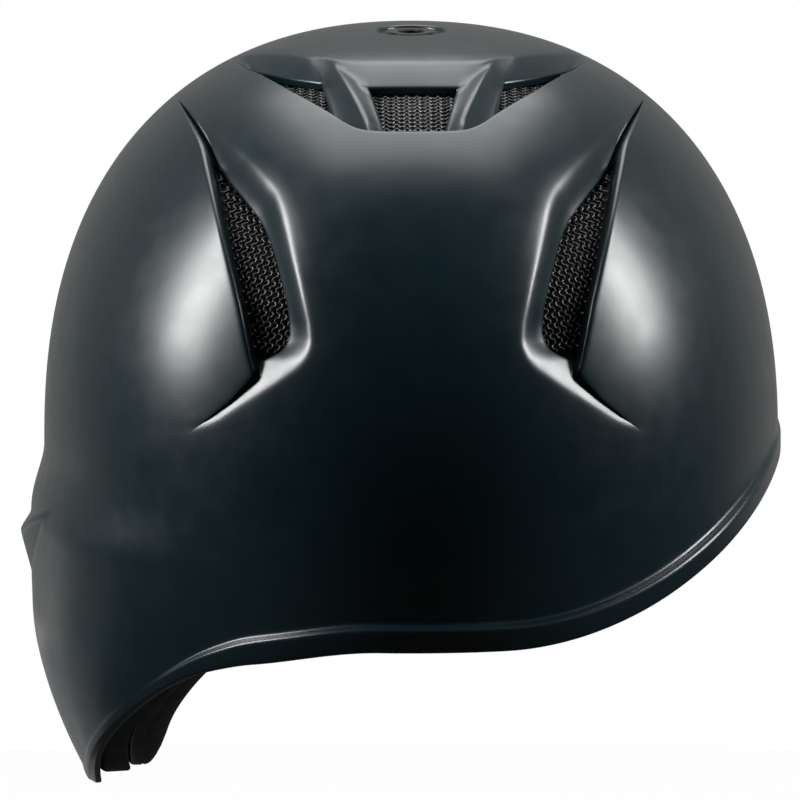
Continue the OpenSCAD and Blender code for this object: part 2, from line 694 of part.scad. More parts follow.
module ear_cushion() {
  color("#191b1d") ear_ring(ear_cushion_inset, ear_cushion_top, function(a) ear_cushion_at(a), true, [32, 7]);
}

module front_loop_patches() {
  color("#222224") pad_tape(front_soft, loop_top);
}

module rear_loop_patches() {
  color("#222224") pad_tape(rear_soft, loop_top);
}

module left_loop_patches() {
  color("#222224") pad_tape(left_soft, loop_top);
}

module right_loop_patches() {
  color("#222224") pad_tape(right_soft, loop_top);
}

module crown_loop_patches() {
  color("#222224") crown_tape(loop_top);
}

module ear_loop_patches() {
  color("#222224") ear_tape(ear_loop_top);
}

outer_shell();
left_rear_vent_mesh();
right_rear_vent_mesh();
centre_crown_vent_mesh();
left_crown_vent_mesh();
right_crown_vent_mesh();
crown_eyelet();
crown_eyelet_washer();
front_liner();
rear_liner();
rear_upper_liner();
left_liner();
right_liner();
crown_liner();
ear_pad_base();
liner_hook_patches();
ear_hook_patches();
front_pad();
rear_pad();
left_pad();
right_pad();
crown_pad();
ear_cushion();
front_loop_patches();
rear_loop_patches();
left_loop_patches();
right_loop_patches();
crown_loop_patches();
ear_loop_patches();
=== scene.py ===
import bpy
import math
import numpy as np
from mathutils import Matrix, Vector
from mathutils.geometry import delaunay_2d_cdt


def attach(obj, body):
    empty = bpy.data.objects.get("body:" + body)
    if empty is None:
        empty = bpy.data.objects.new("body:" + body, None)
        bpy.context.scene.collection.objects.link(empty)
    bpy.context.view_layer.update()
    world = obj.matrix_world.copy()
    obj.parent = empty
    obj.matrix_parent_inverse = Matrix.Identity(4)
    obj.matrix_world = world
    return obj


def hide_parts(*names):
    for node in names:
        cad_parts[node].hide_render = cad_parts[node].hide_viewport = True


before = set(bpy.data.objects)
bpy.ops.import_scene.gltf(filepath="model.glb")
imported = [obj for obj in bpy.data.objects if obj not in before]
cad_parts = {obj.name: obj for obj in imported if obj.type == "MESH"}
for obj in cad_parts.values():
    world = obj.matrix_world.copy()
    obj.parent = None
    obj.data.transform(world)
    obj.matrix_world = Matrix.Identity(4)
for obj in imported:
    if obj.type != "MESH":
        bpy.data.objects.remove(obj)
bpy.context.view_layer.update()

# Outer shell: one injection moulding of black ABS, about 3.5 mm thick, with brim, ear flap,
# rolled nape bead, stepped vents, ear hole and crown dish all moulded in. Everything else is
# glued, riveted or taped to it. Sizes here are millimetres and the mesh is put down in metres.
HALF_WIDTH, REAR_REACH, FRONT_REACH, MEAN_REACH = 106.0, 122.0, 120.0, 112.0
GIRTH, RISE, WALL = 37.0, 120.0, 3.5
APEX = GIRTH + RISE
DOME_POWER, PLAN_POWER, FIELD_SCALE = 2.34, 2.12, 115
EAR_RISE, BROW, FLAP_DROP, NAPE_DIP, NAPE_SAG = 34.5, 28.0, 60.0, 7, 0.6
FLAP_SWELL, JAW_TUCK, JAW_START, NAPE_TUCK = 3.9, 16.6, 8, 4.0
HOOD_RISE, HOOD_FALL, HOOD_CREASE, HOOD_HALF = 0.27, 0.67, 16.2, 18.5
BEAD_HEIGHT, BEAD_OUT, FLAP_ROLL = 8.0, 2.6, 0.6
BRIM_REACH, BRIM_THICK, BRIM_FALL, BRIM_FILLET = 52.0, 4.0, 14.0, 11.0
VENT_DEPTH, SIDE_DEPTH, VENT_WALL = 3.5, 5.6, 1.6
EAR_Z, HOLE_RADIUS, HOLE_STRETCH = -12.0, 9, 4


def ease(a, b, x):
    """Smooth step: 0 at a, 1 at b, with level ends."""
    t = np.clip((x - a) / (b - a), 0, 1)
    return t * t * (3 - 2 * t)


def from_rear(turn):
    """Plan angle counted from the middle of the back, positive on the flap side."""
    return (90 - turn + 540) % 360 - 180


def reach(turn):
    """Radius of the widest level: a superellipse in plan."""
    c, s = np.abs(np.cos(np.radians(turn))), np.sin(np.radians(turn))
    depth = np.where(s >= 0, REAR_REACH, FRONT_REACH)
    return ((c / HALF_WIDTH) ** PLAN_POWER + (np.abs(s) / depth) ** PLAN_POWER) ** (-1 / PLAN_POWER)


def rim(turn):
    """Height of the rim: up over the right ear, down round the flap, level over the brows."""
    side = from_rear(turn)
    r = np.abs(side)
    right = EAR_RISE * ease(12, 80, r) + (BROW - EAR_RISE) * ease(100, 140, r)
    left = -NAPE_DIP * ease(5, 30, r) - (FLAP_DROP - NAPE_DIP) * ease(23, 80, r)
    left = left + (FLAP_DROP + BROW) * ease(96, 136, r)
    return np.where(side < 0, right, left) - NAPE_SAG * ease(60, 30, r)


def wall_offset(turn, z):
    """Stand-out of the wall below the widest level: flap swell less jaw tuck, or nape tuck."""
    side = from_rear(turn)
    share = ease(22, 62, side) * (1 - ease(128, 150, side))
    drop = np.maximum(0, GIRTH - z)
    jaw = np.maximum(0, -z - JAW_START) / (FLAP_DROP - JAW_START)
    flap = FLAP_SWELL * ease(0, 19, drop) - JAW_TUCK * jaw ** 1.7
    return share * flap - (1 - share) * NAPE_TUCK * (drop / GIRTH) ** 2


def hood(turn, z):
    """Hood over the ear: the lower of a face rising from slanting edges and one falling to a crease."""
    y = np.radians((turn + 180) % 360 - 180) * HALF_WIDTH
    rising = HOOD_RISE * (z - np.maximum(5 + 0.82 * (np.abs(y) - HOOD_HALF), 0.8))
    falling = HOOD_FALL * (HOOD_CREASE + 0.235 * y - z)
    crest = 0.5 * (rising + falling - np.sqrt((rising - falling) ** 2 + 0.6))
    return 0.5 * (crest + np.sqrt(crest ** 2 + 0.01)) * ease(60, 50, np.abs(y))


def field(p):
    """About the distance outside the bare skin, in mm: a superellipsoid dome on a swept wall."""
    x, y, z = p[..., 0], p[..., 1], p[..., 2]
    turn = np.degrees(np.arctan2(y, x))
    out = reach(turn) + np.where(z < GIRTH, wall_offset(turn, z) + hood(turn, z), 0)
    high = np.maximum(z - GIRTH, 0) / RISE
    size = ((np.hypot(x, y) / out) ** DOME_POWER + high ** DOME_POWER) ** (1 / DOME_POWER)
    return (size - 1) * FIELD_SCALE


def outward(p):
    """Unit normal: the field's gradient by central differences."""
    g = np.stack([field(p + 0.2 * e) - field(p - 0.2 * e) for e in np.eye(3)], -1)
    return g / np.linalg.norm(g, axis=-1, keepdims=True)


def land(start, way, depth=0.0):
    """Outermost point of the surface a depth below the skin on lines along way, by halving."""
    steps = np.linspace(200, -40, 80)
    found = np.stack([field(start + s * way) for s in steps]) + depth < 0
    first = np.argmax(found, axis=0)
    inner, outer = steps[first], steps[np.maximum(first - 1, 0)]
    for _ in range(30):
        mid = (inner + outer) / 2
        within = field(start + mid[..., None] * way) + depth < 0
        inner, outer = np.where(within, mid, inner), np.where(within, outer, mid)
    return start + inner[..., None] * way


def axes_of(azimuth, elevation):
    """Eye direction, sideways and upward unit vectors of a view from behind, turned to the left."""
    a, e = math.radians(azimuth), math.radians(elevation)
    eye = np.array([math.sin(a) * math.cos(e), math.cos(a) * math.cos(e), math.sin(e)])
    side = np.array([math.cos(a), -math.sin(a), 0.0])
    return eye, side, np.cross(side, eye)


def run_along(line):
    """Distance along a line of flat places, from its start to each of them."""
    return np.r_[0, np.cumsum(np.hypot(*np.diff(line, axis=0).T))]


def on_line(line, s):
    """Places at distances along a line of flat places."""
    run = run_along(line)
    return np.stack([np.interp(s, run, line[:, k]) for k in (0, 1)], -1)


def smoothed(values, width, **ends):
    """Running mean over an odd number of values, with the ends padded."""
    return np.convolve(np.pad(values, width // 2, **ends), np.ones(width) / width, "valid")


def traced(line, depth=0.0):
    """Points over a line drawn in the rear view, every half millimetre, at depths along it."""
    line = np.array(line, float)
    length = run_along(line)[-1]
    s = np.linspace(0, length, int(length / 0.5) + 2)
    x, w = (smoothed(v, 7, mode="reflect", reflect_type="odd") for v in on_line(line, s).T)
    eye, side, up = axes_of(0, 11)
    d = np.interp(s, np.linspace(0, length, np.size(depth)), np.atleast_1d(depth))
    p = land(x[:, None] * side + w[:, None] * up, eye, d)
    return p + outward(p) * d[:, None]


def across(rows, line, side, up):
    """Sideways place of a traced line at each row height, and its slant factor there."""
    q, p = line @ up, line @ side
    order = np.argsort(q)
    value = np.interp(rows, q[order], p[order])
    slant = np.minimum(np.sqrt(1 + np.gradient(value, rows) ** 2), 2.6)
    return value, smoothed(slant, 13, mode="edge")


# Side vents: the ramp falls from a rounded ridge near the middle to an opening, and the side
# panel stands over the opening with a thin lip. A narrow slot leads up from it and a tail down.
SIDE_VIEW = axes_of(35, 25)
EYE, SIDE, UP = SIDE_VIEW
RIDGE_ROUND, RAMP_SLOPE, STEEPER, SLOT_DEPTH = 1.3, 0.44, 0.36, 1.2
OPEN_TOP, OPEN_FOOT = 83.5, 25.2
LIP_STEPS = np.array([1.0, 0.62, 0.3, 0.05])
LIP_BACK = np.array([0.2, 0.5, 0.9, 1.5, 2.4, 3.8, 5.5])
LIP_CLIMB = np.array([0.66, 0.36, 0.17, 0.085, 0.035, 0.008, 0, 0, 0, 0])
ridge_line = traced([(67.0, 134.6), (56, 124), (46.5, 114.1), (39.8, 106.1), (38.2, 102.1), (36, 94.3),
    (32.8, 81.5), (30.1, 69.3), (29.3, 63.3), (30.6, 58.9), (33.4, 55.6), (40.6, 51), (44.5, 48.7),
    (50.7, 45.1), (57, 41.4), (63.6, 38.1)])
lip_line = traced([(67.4, 134.8), (60.2, 121.4), (59.3, 118.5), (57.1, 108.1), (53.2, 90), (49.3, 73.9),
    (46.6, 60), (45.4, 54.4), (51.8, 47.5), (57.2, 43.2), (63.6, 38.3)])
foot_line = traced([(66.6, 133.6), (65.2, 131.2), (58.3, 121.9), (54.8, 113.2), (53.7, 110.8),
    (49.3, 105.6), (43.8, 98.3), (41, 92.1), (38.8, 84.3), (36.1, 73.2), (35.6, 65.5), (37.8, 60.8),
    (43.8, 58.1)], [0.5, 2.2, 3.2, 3.5, 3.5, 3.5, 3.5, 3.5, 3.5])
row_parts = ((111, 95, 0.6), (95, 75, 0.9), (75, 34, 1.4), (34, 19, 0.45), (19, 0.5, 0.75))
rows = np.concatenate([np.arange(start, end, -step) for start, end, step in row_parts])
ridge, ridge_slant = across(rows, ridge_line, SIDE, UP)
lip, lip_slant = across(rows, lip_line, SIDE, UP)
lip = np.maximum(lip, ridge + 0.6)
foot = np.where(rows > (foot_line @ UP).min(), across(rows, foot_line, SIDE, UP)[0], lip)
gap = lip - ridge
lip_base = lip - np.minimum(lip_slant, (0.3 - 0.2 * ease(24, 15, rows)) * gap)
foot = np.clip(foot, ridge + 0.25 * gap, lip_base - 0.05 * gap - 0.05)
shoulder = np.array([-6, -4.6, -3.4, -2.4, -1.6, -1.0, -0.5, -0.1])
ramp = np.array([0.05, 0.11, 0.19, 0.3, 0.45, 0.6, 0.75, 0.88, 0.95, 0.985, 1.0])
floor = np.array([0.33, 0.67])
cols = np.concatenate([
    ridge + shoulder[:, None] * ridge_slant,
    ridge + ramp[:, None] * (foot - ridge),
    foot + floor[:, None] * (lip_base - foot),
    lip - LIP_STEPS[:, None] * (lip - lip_base),
    lip + LIP_BACK[:, None] * lip_slant]).T
foot_col = len(shoulder) + len(ramp) - 1
lip_col = foot_col + len(floor) + 1
place = np.stack([cols, np.broadcast_to(rows[:, None], cols.shape)], -1)
ridge_flat = np.stack([ridge_line @ SIDE, ridge_line @ UP], -1)
highest, lowest = ridge_flat[:, 1].max(), ridge_flat[:, 1].min()
spine = on_line(ridge_flat, np.arange(0, run_along(ridge_flat)[-1], 0.15))
near = np.stack([np.sqrt(((row[:, None] - spine[None]) ** 2).sum(-1)).min(-1) for row in place])
near = np.where(cols < ridge[:, None], -near, near)
slope = (RAMP_SLOPE + STEEPER * ease(25, 38, rows))[:, None]
soft_near = 0.5 * (near + np.sqrt(near ** 2 + RIDGE_ROUND ** 2)) - 0.03
reach_in = ease(highest + 1, highest - 7, rows) * ease(lowest - 0.5, lowest + 6, rows)
side_depth = slope * soft_near * ease(-5.4, -2.2, near)
limit = (SIDE_DEPTH ** 6 + side_depth ** 6) ** (1 / 6)
side_depth = side_depth * SIDE_DEPTH / limit * reach_in[:, None]
rolled, broken = np.zeros((2, cols.shape[1]))
rolled[foot_col - 4:foot_col + 1] = [-0.1, -0.45, -0.8, -0.75, 0.1]
broken[foot_col - 2:foot_col + 1] = [0.03, 0.12, 0.4]
side_depth += rolled * (ease(108, 101, rows) * ease(80.5, 83.5, rows))[:, None]
side_depth += broken * (ease(84, 80.5, rows) * ease(21, 25, rows))[:, None]
floor_deep = side_depth[:, foot_col] + SLOT_DEPTH * ease(107, 100, rows) * ease(77, 82, rows)
steep = np.r_[1, 1, 1, LIP_CLIMB]
gentle = np.array([1.0, 1.0, 1.0, 0.99, 0.97, 0.94, 0.9, 0.82, 0.7, 0.5, 0.26, 0.06, 0])
sharp = np.array([1.0, 1.0, 1.0, 0.6, 0.3, 0.14, 0.1, 0.07, 0.05, 0.03, 0.015, 0.005, 0])
climb = sharp + (steep - sharp) * ease(17, 24, rows)[:, None]
climb = gentle + (climb - gentle) * ease(2, 8, rows)[:, None]
side_depth[:, foot_col + 1:] = floor_deep[:, None] * climb
open_row = (rows < OPEN_TOP) & (rows > OPEN_FOOT) & (lip_base - foot > 0.5)
side_skin = land(cols[..., None] * SIDE + rows[:, None, None] * UP, EYE)
side_cut = np.zeros((len(rows) - 1, cols.shape[1] - 1), bool)
side_cut[:, foot_col:lip_col + 2] = (open_row[:-1] & open_row[1:])[:, None]

# Crown vents: one wide recess below a crease behind the crown. Two struts part it into a middle
# opening and two side ones, and the rear panel's lip closes it below.
CROWN_VIEW = axes_of(0, 60)
EYE, SIDE, UP = CROWN_VIEW
SPLAY, SPLAY_FROM = 0.01314, 34.4
MIDDLE_HALF, FLANK_START, FLANK_END, STRUT_AT = 12.8, 25.8, 44, 19
crease_line = traced([(46.1, 147.3), (35.1, 146.5), (25.7, 144.8), (22.8, 143.9), (18.5, 143.5),
    (0, 143.3)])
rear_line = traced([(52.7, 145.1), (43.5, 140.8), (33, 134.4), (22.7, 128.6), (18.8, 125.9),
    (15.2, 124.2), (11.7, 123.3), (0, 123.2)])
sill_line = traced([(42.9, 141), (34.4, 138.7), (26.2, 137.3), (12.5, 135.6), (0, 135.6)], VENT_DEPTH)
half = np.array([0, 2, 4, 6, 8, 9.6, 10.9, 11.8, 12.4, 12.8, 13.3, 14, 14.9, 15.9, 16.8, 17.5, 18.1,
    18.6, 19, 19.4, 19.9, 20.5, 21.2, 22.1, 23.1, 24.1, 24.9, 25.4, 25.8, 26.3, 27.1, 28.2, 29.6, 31.2,
    33, 35, 37, 39, 41, 42.6, 43.5, 44, 44.7, 45.8, 47.4, 49.4, 51.5])
fan = np.concatenate([-half[:0:-1], half])
edges_up = np.array([7, 5.2, 3.8, 2.7, 1.8, 1.1, 0.5, 0, -0.6, -1.3])
shares = np.array([0.3, 0.42, 0.54, 0.66, 0.78, 0.88, 0.95, 0.985, 1.0])
holes = np.array([0.2, 0.4, 0.6, 0.8])
sill_row = len(edges_up) + len(shares) - 1
base_row = sill_row + len(holes) + 1


def by_x(x, line):
    """Height in the crown view of a line at distances from the middle."""
    px, q = line @ SIDE, line @ UP
    order = np.argsort(px)
    slope = (q[order][-1] - q[order][-4]) / (px[order][-1] - px[order][-4])
    past = np.maximum(np.abs(x) - px.max(), 0)
    return np.interp(np.abs(x), px[order], q[order]) + past * slope


x = np.tile(fan, (base_row + len(LIP_STEPS) + len(LIP_BACK), 1))
for _ in range(8):
    top = by_x(x[0], crease_line)
    low = np.minimum(by_x(x[-1], rear_line), top - 3)
    sill = np.clip(by_x(x[sill_row], sill_line), low + 0.25 * (top - low), top - 2.2)
    base = low + np.minimum(1.0, 0.2 * (sill - low))
    crown_q = np.concatenate([
        top + edges_up[:, None] * np.ones_like(top),
        top - 1.3 + shares[:, None] * (sill - top + 1.3),
        sill + holes[:, None] * (base - sill),
        low + LIP_STEPS[:, None] * (base - low),
        low - LIP_BACK[:, None] * np.ones_like(low)])
    x = fan * (1 + SPLAY * (crown_q - SPLAY_FROM) * ease(31.5, 17.5, np.abs(fan)))
crown_skin = land(x[..., None] * SIDE + crown_q[..., None] * UP, EYE)
fall = top - crown_q
soft_fall = 0.5 * (fall + np.sqrt(fall ** 2 + 2.2 ** 2)) * ease(-6.5, -3, fall)
lead = VENT_DEPTH * soft_fall / np.maximum(soft_fall[sill_row], 0.1)
lead[sill_row - 2:sill_row + 1] += np.array([0.04, 0.14, 0.4])[:, None]
lead[sill_row + 1:] = lead[sill_row]
strut = 0.8 + 0.52 * np.sqrt((np.abs(fan) - STRUT_AT) ** 2 + 0.7 ** 2)
strut = np.where((np.abs(fan) > MIDDLE_HALF + 0.1) & (np.abs(fan) < FLANK_START - 0.1), strut, 99.0)
crown_depth = 1 / (1 / np.maximum(lead, 1e-3) ** 5 + 1 / strut ** 5) ** 0.2
climb = np.r_[np.ones(base_row + 1), LIP_CLIMB]
crown_depth *= climb[:, None] * ease(51, 46, np.abs(fan))
crown_cut = np.zeros((len(crown_q) - 1, len(fan) - 1), bool)
mid_fan = np.abs((fan[1:] + fan[:-1]) / 2)
crown_cut[sill_row:base_row] = (mid_fan < MIDDLE_HALF) | ((mid_fan > FLANK_START) & (mid_fan < FLANK_END))

# Crown dish and ear hole: a shallow flat-floored dish round the eyelet, and an oval hole through
# the flap with a rolled edge. Both are rings of points about their own middle.
DISH_FLOOR = APEX - 1.5


def polar(r, a, *height):
    """Places a distance from a middle in a direction, flat or with a height."""
    return np.stack([r * np.cos(a), r * np.sin(a), *height], -1)


spin = np.radians(np.arange(0, 360, 5.0))
dish_r = np.array([4.8, 5.6, 7, 8.4, 9.1, 9.4, 9.6, 9.85, 10.2, 10.8, 11.8, 13.2])
dish_skin = land(polar(dish_r[:, None], spin, np.zeros((len(dish_r), len(spin)))), np.array([0.0, 0, 1]))
dish_share = np.array([1, 1, 1, 1, 0.98, 0.86, 0.6, 0.26, 0.08, 0.01, 0, 0])
dish_depth = (dish_skin[..., 2] - DISH_FLOOR) * dish_share[:, None]
hole_r = HOLE_RADIUS + np.array([0.0, 0.25, 0.6, 1.1, 1.8, 2.8, 4.2])[:, None]
ring_y = HOLE_STRETCH * np.sign(np.cos(spin)) * (np.abs(np.cos(spin)) > 1e-6) + hole_r * np.cos(spin)
ring_z = EAR_Z + hole_r * np.sin(spin)
ear_skin = land(np.stack([np.zeros_like(ring_y), ring_y, ring_z], -1), np.array([1.0, 0, 0]))
ear_depth = np.array([0.8, 0.36, 0.13, 0.03, 0, 0, 0])[:, None] * np.ones_like(ring_y)

# Bare skin: the wall between the vents, dish and rim, of points spread evenly over the skin laid
# flat, and the rolled edge and brim that close it below. The inner skin follows a wall's thickness in.
FLAT_STEP = 0.55


def flat(p):
    """The skin laid flat about the crown: plan angle as direction, distance down the side as radius."""
    turn = np.arctan2(p[..., 1], p[..., 0])
    r = np.hypot(p[..., 0], p[..., 1])
    up = np.maximum(p[..., 2] - GIRTH, 0) / RISE
    share = (r / reach(np.degrees(turn))) ** (DOME_POWER / 2)
    dome = np.degrees(np.arctan2(share, up ** (DOME_POWER / 2)))
    return polar(np.where(p[..., 2] > GIRTH, dome, 90 + (GIRTH - p[..., 2]) * FLAT_STEP), turn)


def inside(points, loop):
    """Which points lie within a closed loop: an odd number of edges crossed on the way out."""
    a, b = loop[None], np.roll(loop, -1, 0)[None]
    y = points[:, None, 1]
    crosses = (a[..., 1] > y) != (b[..., 1] > y)
    run = np.where(crosses, b[..., 1] - a[..., 1], 1)
    at = a[..., 0] + (y - a[..., 1]) / run * (b[..., 0] - a[..., 0])
    return (crosses & (points[:, None, 0] < at)).sum(1) % 2 == 1


def grown(loop, by):
    """The loop moved outwards by a distance, along its corner normals."""
    way = np.roll(loop, -1, 0) - np.roll(loop, 1, 0)
    way = np.stack([way[:, 1], -way[:, 0]], -1) / np.linalg.norm(way, axis=1, keepdims=True)
    area = (loop[:, 0] * np.roll(loop[:, 1], -1) - loop[:, 1] * np.roll(loop[:, 0], -1)).sum()
    return loop + way * by * np.sign(area)


def grid_faces(n, m, closed=False, ring=False, cut=None):
    """Two triangles for each uncut cell of an n by m grid, closed along its rows and columns if asked."""
    i, j = np.meshgrid(np.arange(n if ring else n - 1), np.arange(m if closed else m - 1), indexing="ij")
    h, k = (i + 1) % n, (j + 1) % m
    a, b, c, d = i * m + j, i * m + k, h * m + k, h * m + j
    cells = np.stack([np.stack([a, b, c], -1), np.stack([a, c, d], -1)], 2)
    return (cells if cut is None else cells[~cut]).reshape(-1, 3)


def facing_out(points, skin_normal, faces):
    """Faces turned so that most of them look along the skin's outward normal."""
    a, b, c = points[faces[:, 0]], points[faces[:, 1]], points[faces[:, 2]]
    sign = (np.cross(b - a, c - a) * skin_normal[faces[:, 0]]).sum(1).sum()
    return faces if sign > 0 else faces[:, ::-1]


def closed_wall(faces, count, rim_points=0):
    """Outer faces, the same turned round on the inner skin, and walls along all borders but the rim's."""
    sides = np.concatenate([faces[:, [0, 1]], faces[:, [1, 2]], faces[:, [2, 0]]])
    paired = np.isin(sides[:, 0] * count + sides[:, 1], sides[:, 1] * count + sides[:, 0])
    a, b = sides[~paired & ~(sides < rim_points).all(1)].T
    walls = np.concatenate([np.stack([b, a, a + count], -1), np.stack([b, a + count, b + count], -1)])
    return np.concatenate([faces, faces[:, ::-1] + count, walls])


TURNS = 400
rim_turn = np.arange(TURNS) * 360 / TURNS
rim_side = from_rear(rim_turn)
ahead = 180 - np.abs(rim_side)
flap_edge = ease(40, 66, rim_side) * ease(150, 125, rim_side)
bead_share = np.where(rim_side < 0, 1 - 0.7 * ease(45, 85, -rim_side), 1 - ease(22, 46, rim_side))
bead = BEAD_OUT * bead_share + FLAP_ROLL * flap_edge
brim = np.maximum(BRIM_REACH * np.cos(np.radians(np.minimum(90, 90 * ahead / 62))).clip(0) ** 1.2, 4)
fillet = BRIM_FILLET * np.minimum(1, brim / 26)
tall = BEAD_HEIGHT * (0.9 - 0.5 * ease(20, 42, rim_side))
round_off = 1 + 1.6 * flap_edge
one = np.ones(TURNS)


def fall_to(out):
    """Height of the brim's upper face a distance out from the wall."""
    return -math.tan(math.radians(BRIM_FALL)) * (out - fillet)


bead_edge = np.array([
    [0 * one, tall + 2.6], [0.08 * bead, tall + 1.2], [0.6 * bead, tall + 0.45],
    [0.99 * bead, 0.95 * tall], [bead, 0.62 * tall], [bead, 0.17 * tall + 0.7 * flap_edge],
    [bead - 0.3 * round_off, 0.3 * round_off], [bead - 1.4, 0 * one], [(bead - WALL) / 2, 0 * one],
    [(1 - WALL) * one, 0 * one], [0.1 * round_off - WALL, 0.4 * round_off], [-WALL * one, tall + 3]])
brim_edge = np.array([
    [0 * one, np.maximum(fillet, BEAD_HEIGHT) + 3], [0.13 * fillet, 0.5 * fillet],
    [0.5 * fillet, 0.13 * fillet], [fillet, 0 * one],
    [(fillet + brim) / 2, fall_to((fillet + brim) / 2)], [brim - 1.3, fall_to(brim - 1.3)],
    [brim, fall_to(brim) - BRIM_THICK / 2], [brim - 1.3, fall_to(brim - 1.3) - BRIM_THICK],
    [brim / 2, fall_to(brim / 2) - BRIM_THICK], [0 * one, -BRIM_THICK * one],
    [(0.2 - WALL) * one, (0.5 - BRIM_THICK / 2) * one], [-WALL * one, (BEAD_HEIGHT + 3) * one]])
profile = bead_edge + (brim_edge - bead_edge) * ease(62, 50, ahead)
for _ in range(2):
    cut_a = 0.75 * profile[:-1] + 0.25 * profile[1:]
    cut_b = 0.25 * profile[:-1] + 0.75 * profile[1:]
    cuts = np.stack([cut_a, cut_b], 1).reshape(-1, 2, TURNS)[1:-1]
    profile = np.concatenate([profile[:1], cuts, profile[-1:]])


def at_rim(out, up):
    """Points of the rim: a distance out from the wall's foot and up from it, at every turn."""
    z = rim(rim_turn) + up
    level = np.maximum(z, rim(rim_turn))
    bulge = np.where(level < GIRTH, wall_offset(rim_turn, level) + hood(rim_turn, level), 0)
    high = np.maximum(level - GIRTH, 0) / RISE
    r = (reach(rim_turn) + bulge) * (1 - high ** DOME_POWER) ** (1 / DOME_POWER) + out
    return polar(r, np.radians(rim_turn), z)


grids = [(at_rim(*profile[0])[None], np.zeros((1, TURNS)), None), (side_skin, side_depth, side_cut),
    (crown_skin, crown_depth, crown_cut), (side_skin * [-1, 1, 1], side_depth, side_cut),
    (dish_skin, dish_depth, None), (ear_skin, ear_depth, None)]
skin_all, depth_all, face_all, loops = [], [], [], []
count = 0
for skin, depth, cut in grids:
    n, m = depth.shape
    index = count + np.arange(n * m).reshape(n, m)
    points = skin.reshape(-1, 3)
    faces = grid_faces(n, m, cut is None, cut=cut)
    if cut is None:
        loops.append(index[-1])
    else:
        loops.append(np.r_[index[0, :-1], index[:-1, -1], index[-1, :0:-1], index[:0:-1, 0]])
    face_all.append(facing_out(points, outward(points), faces) + count)
    skin_all.append(points)
    depth_all.append(depth.reshape(-1))
    count += n * m
flat_loops = [flat(np.concatenate(skin_all)[loop]) for loop in loops]
SPACING = 2.5
fill = []
for k, level in enumerate(np.arange(5, 152, SPACING * 0.56)):
    n = int(2 * math.pi * MEAN_REACH * math.sin(math.radians(min(level, 90))) ** 0.86 / SPACING)
    fill.append(polar(level, (np.arange(n) + 0.5 * (k % 2)) * 2 * math.pi / n))
fill = np.concatenate(fill)
hood_down = 90 + FLAT_STEP * np.arange(8, 41, 0.8)
hood_turn, hood_level = np.meshgrid(np.radians(np.arange(-27, 27, 0.45)), hood_down)
about = (np.abs(np.arctan2(fill[:, 1], fill[:, 0])) < math.radians(27.2)) & (fill[:, 0] > 0)
about &= np.abs(np.hypot(fill[:, 0], fill[:, 1]) - 90 - FLAT_STEP * 24.5) < FLAT_STEP * 17
fill = np.concatenate([fill[~about], polar(hood_level, hood_turn).reshape(-1, 2)])
keep = inside(fill, grown(flat_loops[0], -0.9))
for loop in flat_loops[1:]:
    keep &= ~inside(fill, grown(loop, 0.75))
fill = fill[keep]
turn = np.arctan2(fill[:, 1], fill[:, 0])
turn_deg = np.degrees(turn)
far = np.hypot(fill[:, 0], fill[:, 1])
bend = np.radians(np.minimum(far, 90))
dome_height = GIRTH + RISE * np.cos(bend).clip(0) ** (2 / DOME_POWER)
height = np.where(far < 90, dome_height, GIRTH - (far - 90) / FLAT_STEP)
out = np.where(far < 90, reach(turn_deg) * np.sin(bend) ** (2 / DOME_POWER),
    reach(turn_deg) + wall_offset(turn_deg, height) + hood(turn_deg, height))
plan = np.concatenate(flat_loops + [fill])
plan_index = np.concatenate(loops + [count + np.arange(len(fill))])
ties, start = [], 0
for loop in flat_loops:
    k = start + np.arange(len(loop))
    ties.append(np.stack([k, np.roll(k, -1)], -1))
    start += len(loop)
ties = np.concatenate(ties).tolist()
made = delaunay_2d_cdt([Vector(v) for v in plan.tolist()], ties, [], 0, 1e-6, True)
source = np.array([ids[0] if ids else -1 for ids in made[3]])
tri = source[np.array(made[2])]
middle = plan[tri].mean(1)
keep = (tri >= 0).all(1) & inside(middle, flat_loops[0])
for loop in flat_loops[1:]:
    keep &= ~inside(middle, loop)
skin_all = np.concatenate(skin_all + [polar(out, turn, height)])
depth_all = np.concatenate(depth_all + [np.zeros(len(fill))])
normal_all = outward(skin_all)
outer_faces = np.concatenate(face_all + [facing_out(skin_all, normal_all, plan_index[tri[keep]])])
under_vent = depth_all + VENT_WALL
inner_depth = 0.5 * (under_vent + WALL + np.sqrt((under_vent - WALL) ** 2 + 0.2))
total = len(skin_all)
outer = skin_all - normal_all * depth_all[:, None]
inner = skin_all - normal_all * inner_depth[:, None]
inner[:TURNS] = at_rim(*profile[-1])
strip = np.stack([at_rim(o, u) for o, u in profile[1:-1]])
edge_index = np.concatenate([np.arange(TURNS)[None],
    2 * total + np.arange(strip.size // 3).reshape(-1, TURNS), total + np.arange(TURNS)[None]])
edge_faces = edge_index.reshape(-1)[grid_faces(len(edge_index), TURNS, True)][:, ::-1]
shell_points = np.concatenate([outer, inner, strip.reshape(-1, 3)])
shell_faces = np.concatenate([closed_wall(outer_faces, total, TURNS), edge_faces])


